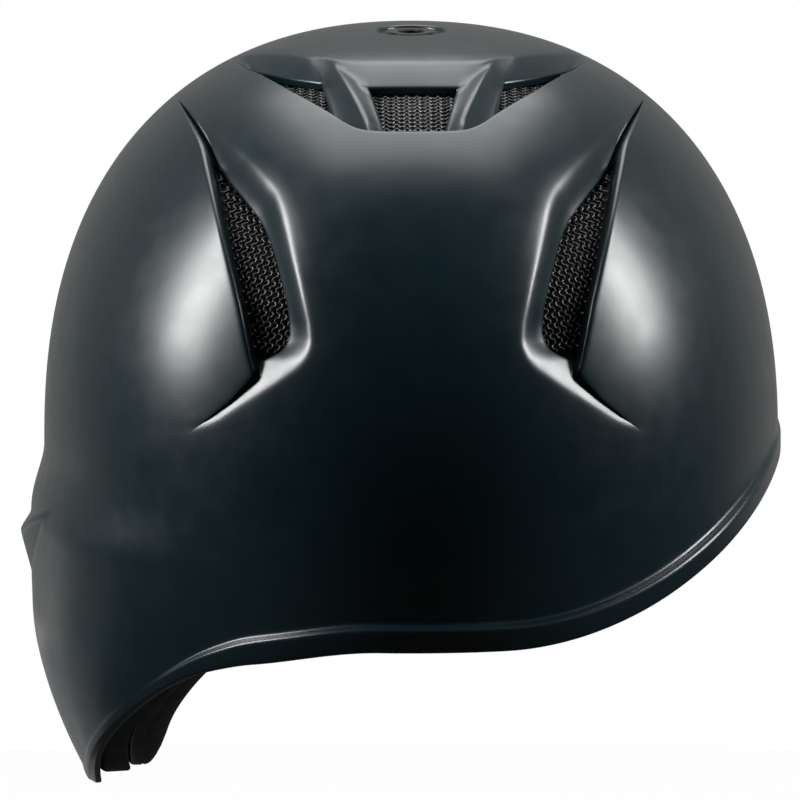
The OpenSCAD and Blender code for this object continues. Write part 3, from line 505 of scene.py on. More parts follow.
def put_mesh(name, points, faces, sharp=None, uv=None):
    """A smooth mesh object from points in mm and triangles, turned so that its volume is positive."""
    used, renumber = np.unique(faces, return_inverse=True)
    points, faces = points[used], renumber.reshape(-1, 3)
    corner = points[faces]
    if (corner[:, 0] * np.cross(corner[:, 1], corner[:, 2])).sum() < 0:
        faces = faces[:, ::-1]
    mesh = bpy.data.meshes.new(name)
    mesh.vertices.add(len(points))
    mesh.vertices.foreach_set("co", (points * 0.001).astype(np.float32).ravel())
    mesh.loops.add(faces.size)
    mesh.loops.foreach_set("vertex_index", faces.astype(np.int32).ravel())
    mesh.polygons.add(len(faces))
    mesh.polygons.foreach_set("loop_start", np.arange(0, faces.size, 3, dtype=np.int32))
    mesh.update(calc_edges=True)
    mesh.polygons.foreach_set("use_smooth", np.ones(len(faces), bool))
    if uv is not None:
        layer = mesh.uv_layers.new(name="UVMap")
        layer.data.foreach_set("uv", uv[used][faces.ravel()].astype(np.float32).ravel())
    if sharp:
        mesh.set_sharp_from_angle(angle=math.radians(sharp))
    mesh.validate()
    piece = bpy.data.objects.new(name, mesh)
    bpy.context.scene.collection.objects.link(piece)
    return piece


shell = put_mesh("shell", shell_points, shell_faces, 50)
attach(shell, "helmet")
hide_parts("outer_shell")


def add_node(tree, kind, values=(), **settings):
    """A shader node with settings, and constants on its input sockets."""
    node = tree.nodes.new("ShaderNode" + kind)
    for name, setting in settings.items():
        setattr(node, name, setting)
    for name, value in dict(values).items():
        node.inputs[name].default_value = value
    return node


def link(output, *inputs):
    """An output socket linked to one or more input sockets."""
    for socket in inputs:
        output.id_data.links.new(output, socket)


def add_texture(tree, kind, values, **settings):
    """A texture in the object's own space."""
    texture = add_node(tree, kind, values, **settings)
    link(add_node(tree, "TexCoord").outputs["Object"], texture.inputs["Vector"])
    return texture


def new_group(name, inputs, outputs):
    """A shared shader group with number sockets, and its input and output nodes."""
    group = bpy.data.node_groups.new(name, "ShaderNodeTree")
    for way, names in (("INPUT", inputs), ("OUTPUT", outputs)):
        for socket in names:
            group.interface.new_socket(socket, in_out=way, socket_type="NodeSocketFloat")
    return group, group.nodes.new("NodeGroupInput").outputs, group.nodes.new("NodeGroupOutput").inputs


def mottle_group():
    """Shared effect: cloudy noise in object space, as a value between Low and High, and its height."""
    group, given, result = new_group("mottle", ("Scale", "Low", "High"), ("Value", "Height"))
    noise = add_texture(group, "TexNoise", {"Detail": 4})
    span = add_node(group, "MapRange", {"From Min": 0.3, "From Max": 0.7})
    link(given["Scale"], noise.inputs["Scale"])
    link(given["Low"], span.inputs["To Min"])
    link(given["High"], span.inputs["To Max"])
    link(noise.outputs["Fac"], span.inputs["Value"], result["Height"])
    link(span.outputs["Result"], result["Value"])
    return group


MOTTLE = mottle_group()


def new_material(name, values=()):
    """A material and its Principled shader, with constants on the shader's sockets."""
    material = bpy.data.materials.new(name)
    material.use_nodes = True
    shader = material.node_tree.nodes["Principled BSDF"]
    for socket, value in dict(values).items():
        shader.inputs[socket].default_value = value
    return material, shader


def add_mottle(shader, scale, low, high, socket=None):
    """The shared noise with its own scale and range, linked to a socket of the shader if one is named."""
    values = {"Scale": scale, "Low": low, "High": high}
    node = add_node(shader.id_data, "Group", values, node_tree=MOTTLE)
    if socket:
        link(node.outputs["Value"], shader.inputs[socket])
    return node


def add_tones(shader, factor, low, high):
    """Base colour mixed from two tones by a factor."""
    mix = add_node(shader.id_data, "Mix", data_type="RGBA", values={"A": (*low, 1), "B": (*high, 1)})
    link(factor, mix.inputs["Factor"])
    link(mix.outputs["Result"], shader.inputs["Base Color"])


def add_bump(shader, height, strength, distance):
    """A bump from a height socket into the shader's normal."""
    bump = add_node(shader.id_data, "Bump", {"Strength": strength, "Distance": distance})
    link(height, bump.inputs["Height"])
    link(bump.outputs["Normal"], shader.inputs["Normal"])


shell_black, shader = new_material("satin_black_abs", {"IOR": 1.5})
cloud = add_mottle(shader, 28, 0, 1)
add_tones(shader, cloud.outputs["Value"], (0.0022, 0.0095, 0.0128), (0.0030, 0.0120, 0.0160))
add_mottle(shader, 120, 0.28, 0.33, "Roughness")
peel = add_texture(shader.id_data, "TexNoise", {"Scale": 620, "Detail": 0})
add_bump(shader, peel.outputs["Fac"], 0.035, 0.0002)
shell.data.materials.append(shell_black)

# Vent meshes: black knitted spacer fabric behind each opening, glued to the wall inside. The face is
# plain knit of real stitches, and the back layer is a thin sheet stretched from edge to edge, coloured
# darker than the yarn as painted shade in the gaps between stitches.
WALE, COURSE, YARN, LINK = 3.1, 2.05, 0.33, 0.21
MESH_GAP, BACK_BELOW, BACK_THICK = 0.35, 0.85, 0.3


def yarn_tube(path, radius, sides):
    """A capped tube: a ring of points about each point of a path, square to the way it runs."""
    way = np.gradient(path, axis=0)
    way /= np.linalg.norm(way, axis=1, keepdims=True)
    flank = np.cross(way, [0, 0, 1.0])
    flank /= np.linalg.norm(flank, axis=1, keepdims=True)
    a = np.arange(sides) * 2 * math.pi / sides
    ring = np.cos(a)[:, None] * flank[:, None] + np.sin(a)[:, None] * np.cross(flank, way)[:, None]
    caps = np.stack([0 * np.arange(1, sides - 1), np.arange(1, sides - 1), np.arange(2, sides)], -1)
    side_faces = grid_faces(len(path), sides, True)[:, ::-1]
    faces = np.concatenate([side_faces, caps, caps[:, ::-1] + (len(path) - 1) * sides])
    return (path[:, None] + radius * ring).reshape(-1, 3), faces


def knit_stitch():
    """One stitch: a cosine wave of thick yarn along the row, and two thin links down to the next row."""
    t = np.linspace(0, 2 * math.pi, 11)
    swing = 0.33 * COURSE
    wave = np.stack([WALE * (t / (2 * math.pi) - 0.5), swing * np.cos(t), 0.14 * np.cos(2 * t)], -1)
    tubes = [yarn_tube(wave, YARN, 6)]
    s = np.linspace(0, 1, 4)
    for side in (-1, 1):
        fall, sag = -swing + (2 * swing - COURSE) * s, -0.2 - 0.35 * np.sin(math.pi * s)
        tubes.append(yarn_tube(np.stack([side * WALE / 2 * s, fall, sag], -1), LINK, 5))
    starts = np.cumsum([0] + [len(points) for points, _ in tubes])
    return np.concatenate([t[0] for t in tubes]), np.concatenate([t[1] + k for t, k in zip(tubes, starts)])


def under_skin(view, across_at, up_at, depth):
    """Points a depth below the skin, over places in a view's own sideways and upward millimetres."""
    skin = land(across_at[..., None] * view[1] + up_at[..., None] * view[2], view[0])
    return skin - outward(skin) * depth[..., None]


def knit_over(view, across_span, up_span, upright, within, depth_at):
    """Stitches in rows, level or upright, at every place of a region, laid on the mesh's level."""
    stitch, one_faces = knit_stitch()
    steps = (COURSE, WALE) if upright else (WALE, COURSE)
    mid_across, mid_up = np.meshgrid(np.arange(*across_span, steps[0]), np.arange(*up_span, steps[1]))
    keep = within(mid_across, mid_up)
    across_at = mid_across[keep][:, None] + stitch[:, 1 if upright else 0]
    up_at = mid_up[keep][:, None] + stitch[:, 0 if upright else 1]
    points = under_skin(view, across_at, up_at, depth_at(across_at, up_at) - stitch[:, 2])
    if upright:
        one_faces = one_faces[:, ::-1]
    faces = one_faces[None] + (np.arange(len(across_at)) * len(stitch))[:, None, None]
    return points.reshape(-1, 3), faces.reshape(-1, 3)


def backing_over(view, across_at, up_at, depth_at):
    """The back layer: a grid below the stitches and its copy a little deeper, closed at the edges.

    Also gives its mean length and width and its area, in metres."""
    depth = depth_at(across_at, up_at) + BACK_BELOW
    front = under_skin(view, across_at, up_at, depth)
    rear = under_skin(view, across_at, up_at, depth + BACK_THICK)
    faces = grid_faces(*across_at.shape)
    spans = [float(np.linalg.norm(np.diff(front, axis=k), axis=-1).sum(k).mean()) * 0.001 for k in (0, 1)]
    a, b, c = np.moveaxis(front.reshape(-1, 3)[faces], 1, 0)
    area = float(np.linalg.norm(np.cross(b - a, c - a), axis=1).sum()) * 5e-7
    points = np.concatenate([front.reshape(-1, 3), rear.reshape(-1, 3)])
    return points, closed_wall(faces, across_at.size), spans, area


yarn_black, shader = new_material("black_yarn", {"Base Color": (0.011, 0.011, 0.012, 1),
    "Sheen Weight": 0.15})
add_mottle(shader, 1500, 0.22, 0.36, "Roughness")
# Back layer: near-black tones, darker than the yarn's, as painted shade seen through the gaps between
# stitches.
backing_painted_shade, shader = new_material("mesh_backing_painted_shade", {"Roughness": 0.9})
weft = add_mottle(shader, 900, 0, 1)
add_tones(shader, weft.outputs["Value"], (0.002, 0.002, 0.0022), (0.006, 0.006, 0.0065))
add_bump(shader, weft.outputs["Height"], 0.3, 0.0003)


def fit_mesh(side_name, knit, backing, mirrored):
    flip = np.array([-1.0 if mirrored else 1.0, 1, 1])
    face = put_mesh(side_name + "_knit", knit[0] * flip, knit[1])
    back = put_mesh(side_name + "_backing", backing[0] * flip, backing[1])
    face.data.materials.append(yarn_black)
    back.data.materials.append(backing_painted_shade)
    for piece in (face, back):
        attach(piece, "helmet")
    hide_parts(side_name + "_vent_mesh")


def at_row(value, q):
    """A value known on the side vent's rows, at any height."""
    return np.interp(q, rows[::-1], value[::-1])


def side_level(p, q):
    """Depth of the mesh in a side vent: it climbs from foot to lip, then to its glued edge in the panel."""
    foot_q, base_q = at_row(foot, q), at_row(lip_base, q)
    deep = at_row(side_depth[:, foot_col], np.clip(q, 30, 72)) + VENT_WALL + MESH_GAP + YARN
    deep = deep - 2.4 * np.clip((p - foot_q) / np.maximum(base_q - foot_q, 2), 0, 1)
    return deep + (WALL - 0.5 - deep) * ease(0.4, 3.0, p - base_q)


def side_within(p, q):
    """Places of the side vent's stitches: the opening and a margin."""
    return (p > at_row(foot, q) - 1.3) & (p < at_row(lip_base, q) + 0.9)


side_knit = knit_over(SIDE_VIEW, (-34, 16), (23.8, 85), True, side_within, side_level)
up_at = np.linspace(22.8, 86, 42)[:, None]
foot_up, base_up = at_row(foot, up_at), at_row(lip_base, up_at)
across_at = foot_up - 2.4 + (base_up - foot_up + 6.6) * np.linspace(0, 1, 20)
side_backing = backing_over(SIDE_VIEW, across_at, up_at + 0 * across_at, side_level)
fit_mesh("left_rear", side_knit, side_backing, False)
fit_mesh("right_rear", side_knit, side_backing, True)


def splay(q, share=1.0):
    """Widening of the crown vents with height, in the crown view."""
    return 1 + SPLAY * (q - SPLAY_FROM) * share


def crown_level(p, q):
    """Depth of the mesh in the crown vents: level, just inside the wall."""
    return 0 * p + VENT_DEPTH + 0.4 + VENT_WALL + MESH_GAP + YARN


def middle_within(p, q):
    """Places of the middle crown vent's stitches: the opening and a margin."""
    wide = np.abs(p) < MIDDLE_HALF * splay(q) + 0.8
    return wide & (q > by_x(p, rear_line) + 0.2) & (q < by_x(p, sill_line) + 1.2)


def flank_within(p, q):
    """Places of an outer crown vent's stitches: the opening and a margin."""
    wide = (p > FLANK_START * splay(q, 0.36) - 0.8) & (p < FLANK_END + 0.6)
    return wide & (q > by_x(p, rear_line)) & (q < by_x(p, sill_line) + 1.2)


def crown_backing(wide, part_up):
    """Back layer of a crown vent: from just above the rear lip to 2.4 mm past the sill."""
    low = by_x(wide, rear_line)
    up_at = low + 0.2 + (by_x(wide, sill_line) + 2.2 - low) * part_up
    return backing_over(CROWN_VIEW, wide, up_at, crown_level)


middle_knit = knit_over(CROWN_VIEW, (-15, 15.1), (6, 37), False, middle_within, crown_level)
part_up, part_across = np.meshgrid(np.linspace(0, 1, 18), np.linspace(-1, 1, 16), indexing="ij")
middle_backing = crown_backing(15.4 * (0.76 + 0.3 * part_up) * part_across, part_up)
fit_mesh("centre_crown", middle_knit, middle_backing, False)
flank_knit = knit_over(CROWN_VIEW, (20, 46), (14, 68), False, flank_within, crown_level)
part_across, part_up = np.meshgrid(np.linspace(0, 1, 16), np.linspace(0, 1, 14), indexing="ij")
flank_backing = crown_backing(23.4 + 22 * part_across - 2.5 * (1 - part_up) * (1 - part_across), part_up)
fit_mesh("left_crown", flank_knit, flank_backing, False)
fit_mesh("right_crown", flank_knit, flank_backing, True)

# Crown eyelet and washer: a rolled eyelet of black-plated brass set in the dish, clenched over a
# plain washer inside. It vents the crown and holds the crown liner.
plated, shader = new_material("black_plating", {"Metallic": 0.85})
rub = add_mottle(shader, 700, 0.24, 0.42, "Roughness")
add_tones(shader, rub.outputs["Height"], (0.022, 0.022, 0.024), (0.05, 0.05, 0.053))


def dress(node, material):
    """Gives a carried-over solid its finish."""
    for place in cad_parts[node].material_slots:
        place.material = material


dress("crown_eyelet", plated)
dress("crown_eyelet_washer", plated)

# Foam liners: six blocks of charcoal closed-cell foam moulded from fused beads, glued inside the
# shell round the brow, the sides, the back and the crown.
GLUE_GAP, LINER_THICK, SEAT_GAP, TAPE_THICK = 0.9, 12.0, 0.3, 0.8
LINER_TOP = WALL + GLUE_GAP
LINER_BASE = LINER_TOP + LINER_THICK
ARC_MM = math.radians(1) * MEAN_REACH
EDGE, CROWN_MID, CROWN_HOLE = 2.2, -15.0, 12.5
INWARD = np.array([0, 0.12, 0.25, 0.4, 0.55, 0.7, 0.85])
FLAT = np.linspace(0, 1, 9)[1:-1]


def in_wall(turn, z, depth):
    """Point at a plan angle and height, a depth below the skin: dome above the widest level, wall below."""
    high = np.clip((z - GIRTH) / (RISE - depth), 0, 1)
    dome = (reach(turn) - depth) * (1 - high ** DOME_POWER) ** (1 / DOME_POWER)
    r = np.where(z > GIRTH, dome, reach(turn) + wall_offset(turn, z) - depth)
    a = np.radians(turn)
    return polar(r, a, z + 0 * a)


def panel_outline(spot, corners, inset):
    """Outline of a panel about its middle, drawn in by an inset: a superellipse of the seventh power."""
    (turn_a, turn_b), (low, high) = spot
    a = np.linspace(0, 2 * math.pi, corners, endpoint=False) + 0.013
    c, s = np.cos(a), np.sin(a)
    size = (np.abs(c) ** 7 + np.abs(s) ** 7) ** (-1 / 7)
    return c * size * ((turn_b - turn_a) / 2 * ARC_MM - inset), s * size * ((high - low) / 2 - inset)


def on_panel(spot, u, v, depth):
    """Points in a panel's place on the wall, from millimetres about its middle."""
    (turn_a, turn_b), (low, high) = spot
    return in_wall((turn_a + turn_b) / 2 + u / ARC_MM, (low + high) / 2 + v, depth)


def capped_faces(n, m):
    """Faces of a closed grid whose first and last rows are each drawn together to one point."""
    index = np.arange(n * m).reshape(n, m)
    index[0], index[-1] = index[0, 0], index[-1, 0]
    faces = index.reshape(-1)[grid_faces(n, m, True)]
    a, b, c = faces.T
    return faces[(a != b) & (b != c) & (c != a)]


def panel(spot, scale, inset, depth):
    """A block on the wall: its outline drawn in by an inset and scaled, at each depth of a profile."""
    u, v = panel_outline(spot, 144, inset[:, None])
    u, v = u * scale[:, None], v * scale[:, None]
    points = on_panel(spot, u, v, depth[:, None])
    return points.reshape(-1, 3), capped_faces(*u.shape), np.stack([u, v], -1).reshape(-1, 2)


def arcs(edge):
    """A rounded edge in six steps: what is still to go sideways, and what has been gone."""
    quarter = np.linspace(0, math.pi / 2, 6)
    return edge * (1 - np.sin(quarter)), edge * (1 - np.cos(quarter))


def block_profile(top, base):
    """Section of a block: flat back, rounded edge, straight side, rounded edge, flat front."""
    level = np.ones(len(INWARD))
    arc_in, arc_out = arcs(EDGE)
    scale = np.r_[INWARD, np.ones(12), INWARD[::-1]]
    inset = np.r_[EDGE * level, arc_in, arc_out, EDGE * level]
    return scale, inset, np.r_[top * level, top + arc_out, base - arc_in, base * level]


def over_crown(x, y, depth):
    """Point of the dome a depth below the skin above a plan place."""
    f = np.clip(np.hypot(x, y) / (reach(np.degrees(np.arctan2(y, x))) - depth), 0, 1)
    return np.stack([x, y, GIRTH + (RISE - depth) * (1 - f ** DOME_POWER) ** (1 / DOME_POWER)], -1)


def ring_course(edge_shift, front):
    """Share of the way from hole to rim and shift in mm, along a ring's back, rim, front and hole."""
    count = len(edge_shift)
    share = np.r_[FLAT, np.ones(count), front, np.zeros(count)]
    return share, np.r_[0 * FLAT, -edge_shift, 0 * FLAT, edge_shift[::-1]]


def ring_profile(top, base, edge):
    """Section of a ring block, all the way round: share, shift and depth."""
    arc_in, arc_out = arcs(edge)
    edge_depth = np.r_[top + arc_out, base - arc_in]
    depth = np.r_[top + 0 * FLAT, edge_depth, base + 0 * FLAT, edge_depth[::-1]]
    return *ring_course(np.r_[arc_in, arc_out], FLAT[::-1]), depth


def crown_rim(angle, half):
    """Distance from the eyelet to an oval about the crown's middle, along a direction."""
    c, s = np.cos(angle) / half[0], np.sin(angle) / half[1]
    m = CROWN_MID / half[1]
    b = -m * s
    return (-b + np.sqrt(b * b - (c * c + s * s) * (m * m - 1))) / (c * c + s * s)


def crown_ring(half, share, shift, depth):
    """A ring on the dome, from the hole round the eyelet to an oval rim."""
    a = np.linspace(0, 2 * math.pi, 128, endpoint=False)
    r = CROWN_HOLE + (crown_rim(a, half) - CROWN_HOLE) * share[:, None] + shift[:, None]
    uv = polar(r, a)
    points = over_crown(uv[..., 0], uv[..., 1], depth[:, None])
    return points.reshape(-1, 3), grid_faces(*r.shape, True, True), uv.reshape(-1, 2)


def bead_group():
    """Shared effect: fused foam beads as rounded cells, with a tone each and a mask of the joins."""
    group, given, result = new_group("foam_beads", ("Scale",), ("Join", "Tone"))
    cells = add_texture(group, "TexVoronoi", ())
    seams = add_texture(group, "TexVoronoi", (), feature="DISTANCE_TO_EDGE")
    span = add_node(group, "MapRange", {"From Max": 0.12})
    tone = add_node(group, "SeparateColor")
    link(given["Scale"], cells.inputs["Scale"], seams.inputs["Scale"])
    link(seams.outputs["Distance"], span.inputs["Value"])
    link(cells.outputs["Color"], tone.inputs["Color"])
    link(span.outputs["Result"], result["Join"])
    link(tone.outputs["Red"], result["Tone"])
    return group


BEADS = bead_group()


def foam_material(name, dark, light, bead_scale):
    """Closed-cell foam: beads of slightly different grey with dark joins between them."""
    material, shader = new_material(name)
    tree = shader.id_data
    beads = add_node(tree, "Group", {"Scale": bead_scale}, node_tree=BEADS)
    body = add_node(tree, "Mix", {"A": (*dark, 1), "B": (*light, 1)}, data_type="RGBA")
    join = add_node(tree, "Mix", {"A": (*(0.45 * c for c in dark), 1)}, data_type="RGBA")
    link(beads.outputs["Tone"], body.inputs["Factor"])
    link(beads.outputs["Join"], join.inputs["Factor"])
    link(body.outputs["Result"], join.inputs["B"])
    link(join.outputs["Result"], shader.inputs["Base Color"])
    add_mottle(shader, 260, 0.62, 0.8, "Roughness")
    add_bump(shader, beads.outputs["Join"], 0.25, 0.0003)
    return material


liner_foam = foam_material("liner_foam", (0.016, 0.017, 0.019), (0.028, 0.029, 0.032), 330)
LINERS = {"front": ((234, 306), (33, 90)), "rear": ((56, 124), (5, 54)),
    "rear_upper": ((77, 103), (60, 118)), "left": ((-47, 47), (24, 86)), "right": ((133, 227), (40.5, 86))}
liners = {name: panel(spot, *block_profile(LINER_TOP, LINER_BASE)) for name, spot in LINERS.items()}
liners["crown"] = crown_ring((48, 43), *ring_profile(LINER_TOP, LINER_BASE, EDGE))


def fit_foam(name, node, made, foam):
    """Puts a foam block in place, glued in the helmet."""
    points, faces, uv = made
    block = put_mesh(name, points, faces, 55, uv)
    block.data.materials.append(foam)
    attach(block, "helmet")
    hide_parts(node)


for name, made in liners.items():
    fit_foam(name + "_foam_liner", name + "_liner", made, liner_foam)

# Ear flap foam: a firm black block that follows the flap's edge from behind the ear to the cheek,
# open round the ear, glued to the flap.
EAR_BASE_THICK, EAR_CUSHION_THICK, EAR_EDGE, EAR_INSET = 9.0, 8.0, 1.6, 3
EAR_OPENING, FULL_WIDTH = (19, 23), 17
FLAP_TURN = 180 / (math.pi * HALF_WIDTH)
EAR_BASE_BASE = LINER_TOP + EAR_BASE_THICK


def ear_rim(angle, inset, lift=0.0):
    """Reach of the ear padding from the ear: a cubic oval held back from the flap's edge by halving."""
    c, s = np.cos(angle), np.sin(angle)
    inset = inset + lift * ease(-0.5, -0.9, s)
    along, up = np.where(c > 0, 96, 45), np.where(s > 0, 31, 60)
    oval = ((np.abs(c) / along) ** 3 + (np.abs(s) / up) ** 3) ** (-1 / 3) - inset + 3
    near, far = np.full_like(c, 20.0), np.full_like(c, 110.0)
    for _ in range(20):
        mid = (near + far) / 2
        clear = EAR_Z + mid * s > rim(mid * c * FLAP_TURN) + inset
        near, far = np.where(clear, mid, near), np.where(clear, far, mid)
    both = np.minimum(oval, near)
    return np.minimum(both, np.mean([np.roll(both, k) for k in range(-3, 4)], axis=0))


def ear_opening(angle):
    """Reach of the oval left open round the ear."""
    return 1 / np.hypot(np.cos(angle) / EAR_OPENING[0], np.sin(angle) / EAR_OPENING[1])


def cushion_thick(a):
    """Thickness of the ear cushion in a direction from the ear: thinner below it, fuller behind it."""
    from_back = np.abs((np.degrees(a) + 180) % 360 - 180)
    return EAR_CUSHION_THICK * (0.68 + 1.3 * ease(75, 0, from_back))


def ear_ring(inset, hole_grow, share, shift, depth, swell=0, lift=0.0):
    """A ring of padding in the flap, from an oval round the ear to the outline near the flap's edge."""
    a = np.linspace(0, 2 * math.pi, 200, endpoint=False)
    a = a - 0.35 * np.sin(a)
    hole = ear_opening(a) + hole_grow
    width = ear_rim(a, inset, lift) - hole
    r = hole + width * share[:, None] + shift[:, None] * np.minimum(1, width / FULL_WIDTH)
    down = np.reshape(depth, (-1, 1)) + np.reshape(swell, (-1, 1)) * cushion_thick(a) + 0 * r
    points = in_wall(r * np.cos(a) * FLAP_TURN, EAR_Z + r * np.sin(a), down)
    return points.reshape(-1, 3), grid_faces(*r.shape, True, True), polar(r, a).reshape(-1, 2)


ear_foam = foam_material("ear_foam", (0.005, 0.010, 0.011), (0.008, 0.016, 0.017), 900)
made = ear_ring(EAR_INSET, 0, *ring_profile(LINER_TOP, EAR_BASE_BASE, EAR_EDGE))
fit_foam("ear_foam_block", "ear_pad_base", made, ear_foam)

# Hook and loop patches: small squares of black nylon tape, hooks glued to the foam and loops sewn
# to the back of each pad, so that the pads pull off for washing.
HOOK_TONE, HOOK_GRAIN = 0.018, 1400
LOOP_TONE, LOOP_GRAIN = 0.013, 2200


def tape_material(name, tone, grain, rough):
    """Nylon tape: a dense field of fine hooks or loops, as pits and a rough bump."""
    material, shader = new_material(name, {"Roughness": rough})
    pile = add_texture(shader.id_data, "TexVoronoi", {"Scale": grain})
    add_tones(shader, pile.outputs["Distance"], (tone * 1.8, tone * 1.8, tone * 1.85), 3 * (tone * 0.5,))
    add_bump(shader, pile.outputs["Distance"], 0.6, 0.0005)
    return material


hook_nylon = tape_material("hook_nylon", HOOK_TONE, HOOK_GRAIN, 0.5)
loop_nylon = tape_material("loop_nylon", LOOP_TONE, LOOP_GRAIN, 0.85)
for node in ("liner_hook_patches", "ear_hook_patches"):
    dress(node, hook_nylon)
for name in ("front", "rear", "left", "right", "crown", "ear"):
    dress(name + "_loop_patches", loop_nylon)

# Comfort pads: soft foam between two layers of black sports mesh, pressed flat and sewn along a
# narrow hem, with a rounded crown towards the head.
PAD_TOP = LINER_BASE + 3 * SEAT_GAP + 2 * TAPE_THICK
PAD_THICK, SEAM, HEM, HEM_SEWN, PITCH = 8.0, 0.4, 2.6, 1.5, 3.0
HEM_LEVEL = PAD_TOP + SEAM * PAD_THICK + 0.42


def pad_profile(top, thick):
    """Pad section from back to front: flat back, drawn-in side, thin hem, round crown."""
    level = np.ones(len(INWARD))
    seam, full = top + SEAM * thick, (1 - SEAM) * thick
    rise_inset = np.array([0.25, 0.55, 1.1, 1.9, 3.0, 4.4, 6.2, 8.4])
    rise = np.sin(np.linspace(0.12, 1, 8) * math.pi / 2) ** 1.1 * 0.9
    scale = np.r_[INWARD, np.ones(17), INWARD[::-1]]
    inset = np.r_[3.4 * level, 3.2, 2.4, 1.4, 0.5, 0.12, 0, 0.15, 0.6, HEM, HEM + rise_inset,
        (HEM + rise_inset[-1]) * level]
    depth = np.r_[top * level, top + np.array([0.05, 0.5, 1.3, 2.1]),
        seam + np.array([-0.6, 0, 0.35, 0.45, 0.3]), seam + full * rise,
        seam + full * (1 - 0.1 * INWARD[::-1] ** 2)]
    return scale, inset, depth


def hole_group():
    """Shared effect: sports mesh, a staggered field of small round holes on the piece's own UV map."""
    group, given, result = new_group("sports_mesh", ("Scale",), ("Mask",))
    where = add_node(group, "TexCoord")
    turned = add_node(group, "Mapping", {"Rotation": (0, 0, math.pi / 4)})
    holes = add_node(group, "TexVoronoi", {"Randomness": 0.06}, voronoi_dimensions="2D")
    edge = {"From Min": 0.22, "From Max": 0.40}
    span = add_node(group, "MapRange", edge, interpolation_type="SMOOTHSTEP")
    link(where.outputs["UV"], turned.inputs["Vector"])
    link(turned.outputs["Vector"], holes.inputs["Vector"])
    link(given["Scale"], holes.inputs["Scale"])
    link(holes.outputs["Distance"], span.inputs["Value"])
    link(span.outputs["Result"], result["Mask"])
    return group


HOLES = hole_group()
pad_mesh, shader = new_material("pad_sports_mesh", {"Sheen Weight": 0.2})
weave = add_node(shader.id_data, "Group", {"Scale": 0.62}, node_tree=HOLES)
add_tones(shader, weave.outputs["Mask"], (0.004, 0.004, 0.0045), (0.020, 0.021, 0.023))
add_mottle(shader, 600, 0.7, 0.9, "Roughness")
add_bump(shader, weave.outputs["Mask"], 0.5, 0.0005)
thread_grey, shader = new_material("hem_thread", {"Base Color": (0.03, 0.031, 0.034, 1)})
twist = add_mottle(shader, 2500, 0.5, 0.75, "Roughness")
add_bump(shader, twist.outputs["Height"], 0.4, 0.0002)


def stitch_line(path):
    """Stitches along a closed line of (across, up) places: small ellipsoids, each along the line."""
    ends = np.vstack([path, path[:1]])
    length = run_along(ends)[-1]
    count = int(length / PITCH)
    s = (np.arange(count) + 0.5) * length / count
    mid = on_line(ends, s)
    step = on_line(ends, (s + 0.4) % length) - mid
    way = step / np.linalg.norm(step, axis=1, keepdims=True)
    beside_way = np.stack([-way[:, 1], way[:, 0]], -1)
    l, a = np.linspace(-1, 1, 7)[:, None], np.arange(6) * math.pi / 3
    thick = np.sqrt(1 - l ** 2)
    along, beside = 0.36 * PITCH * l + 0 * a, 0.28 * thick * np.cos(a)
    place = mid[:, None, None] + along[..., None] * way[:, None, None]
    place = place + beside[..., None] * beside_way[:, None, None]
    lift = np.broadcast_to(0.26 * thick * np.sin(a), place.shape[:-1])
    faces = capped_faces(7, 6)[None] + 42 * np.arange(count)[:, None, None]
    return place[..., 0], place[..., 1], lift, faces.reshape(-1, 3)


def fit_pad(name, stitches_name, body, made, stitches, cover):
    """Puts a pad and its hem stitches in place, riding on the pad's own body."""
    points, faces, uv = made
    pad = put_mesh(name + "_cushion", points, faces, 70, uv)
    pad.data.materials.append(cover)
    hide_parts(body)
    sewn = put_mesh(stitches_name, stitches[0].reshape(-1, 3), stitches[1])
    sewn.data.materials.append(thread_grey)
    for piece in (pad, sewn):
        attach(piece, body)


PADS = {"front": ((236, 304), (37, 68)), "rear": ((62, 118), (9, 46)), "left": ((-26, 26), (31, 64)),
    "right": ((154, 206), (43.5, 72))}
for name, spot in PADS.items():
    made = panel(spot, *pad_profile(PAD_TOP, PAD_THICK))
    u, v, lift, faces = stitch_line(np.stack(panel_outline(spot, 400, HEM_SEWN), -1))
    sewn = on_panel(spot, u, v, HEM_LEVEL + lift)
    fit_pad(name, name + "_hem_stitches", name + "_pad", made, (sewn, faces), pad_mesh)


def soft_ring_profile(top, thick):
    """Soft ring section: flat back drawn in at both edges, thin hems, and a rounded crown to the head."""
    seam, full = top + SEAM * thick, (1 - SEAM) * thick
    round_over = np.array([0.25, 0.55, 1.1, 1.9, 3.0, 4.4])
    edge_shift = np.r_[2.2, 1.2, 0.5, 0.12, 0, 0.15, 0.6, HEM, HEM + round_over]
    rise = seam + full * np.sin(np.linspace(0.12, 0.88, 6) * math.pi / 2) ** 1.1
    edge_depth = np.r_[top + np.array([0.05, 0.7, 1.7]), seam + np.array([-0.6, 0, 0.35, 0.45, 0.3]), rise]
    bulge = seam + full * (1 - 0.08 * (2 * FLAT - 1) ** 2)
    depth = np.r_[top + 0 * FLAT, edge_depth, bulge[::-1], edge_depth[::-1]]
    return *ring_course(edge_shift, 0.25 + 0.5 * FLAT[::-1]), depth


CROWN_PAD = (38, 34)
angle = np.linspace(0, 2 * math.pi, 400, endpoint=False)
made = crown_ring(CROWN_PAD, *soft_ring_profile(PAD_TOP, PAD_THICK))
u, v, lift, faces = stitch_line(polar(crown_rim(angle, CROWN_PAD) - HEM_SEWN, angle))
sewn = over_crown(u, v, HEM_LEVEL + lift)
fit_pad("crown", "crown_hem_stitches", "crown_pad", made, (sewn, faces), pad_mesh)

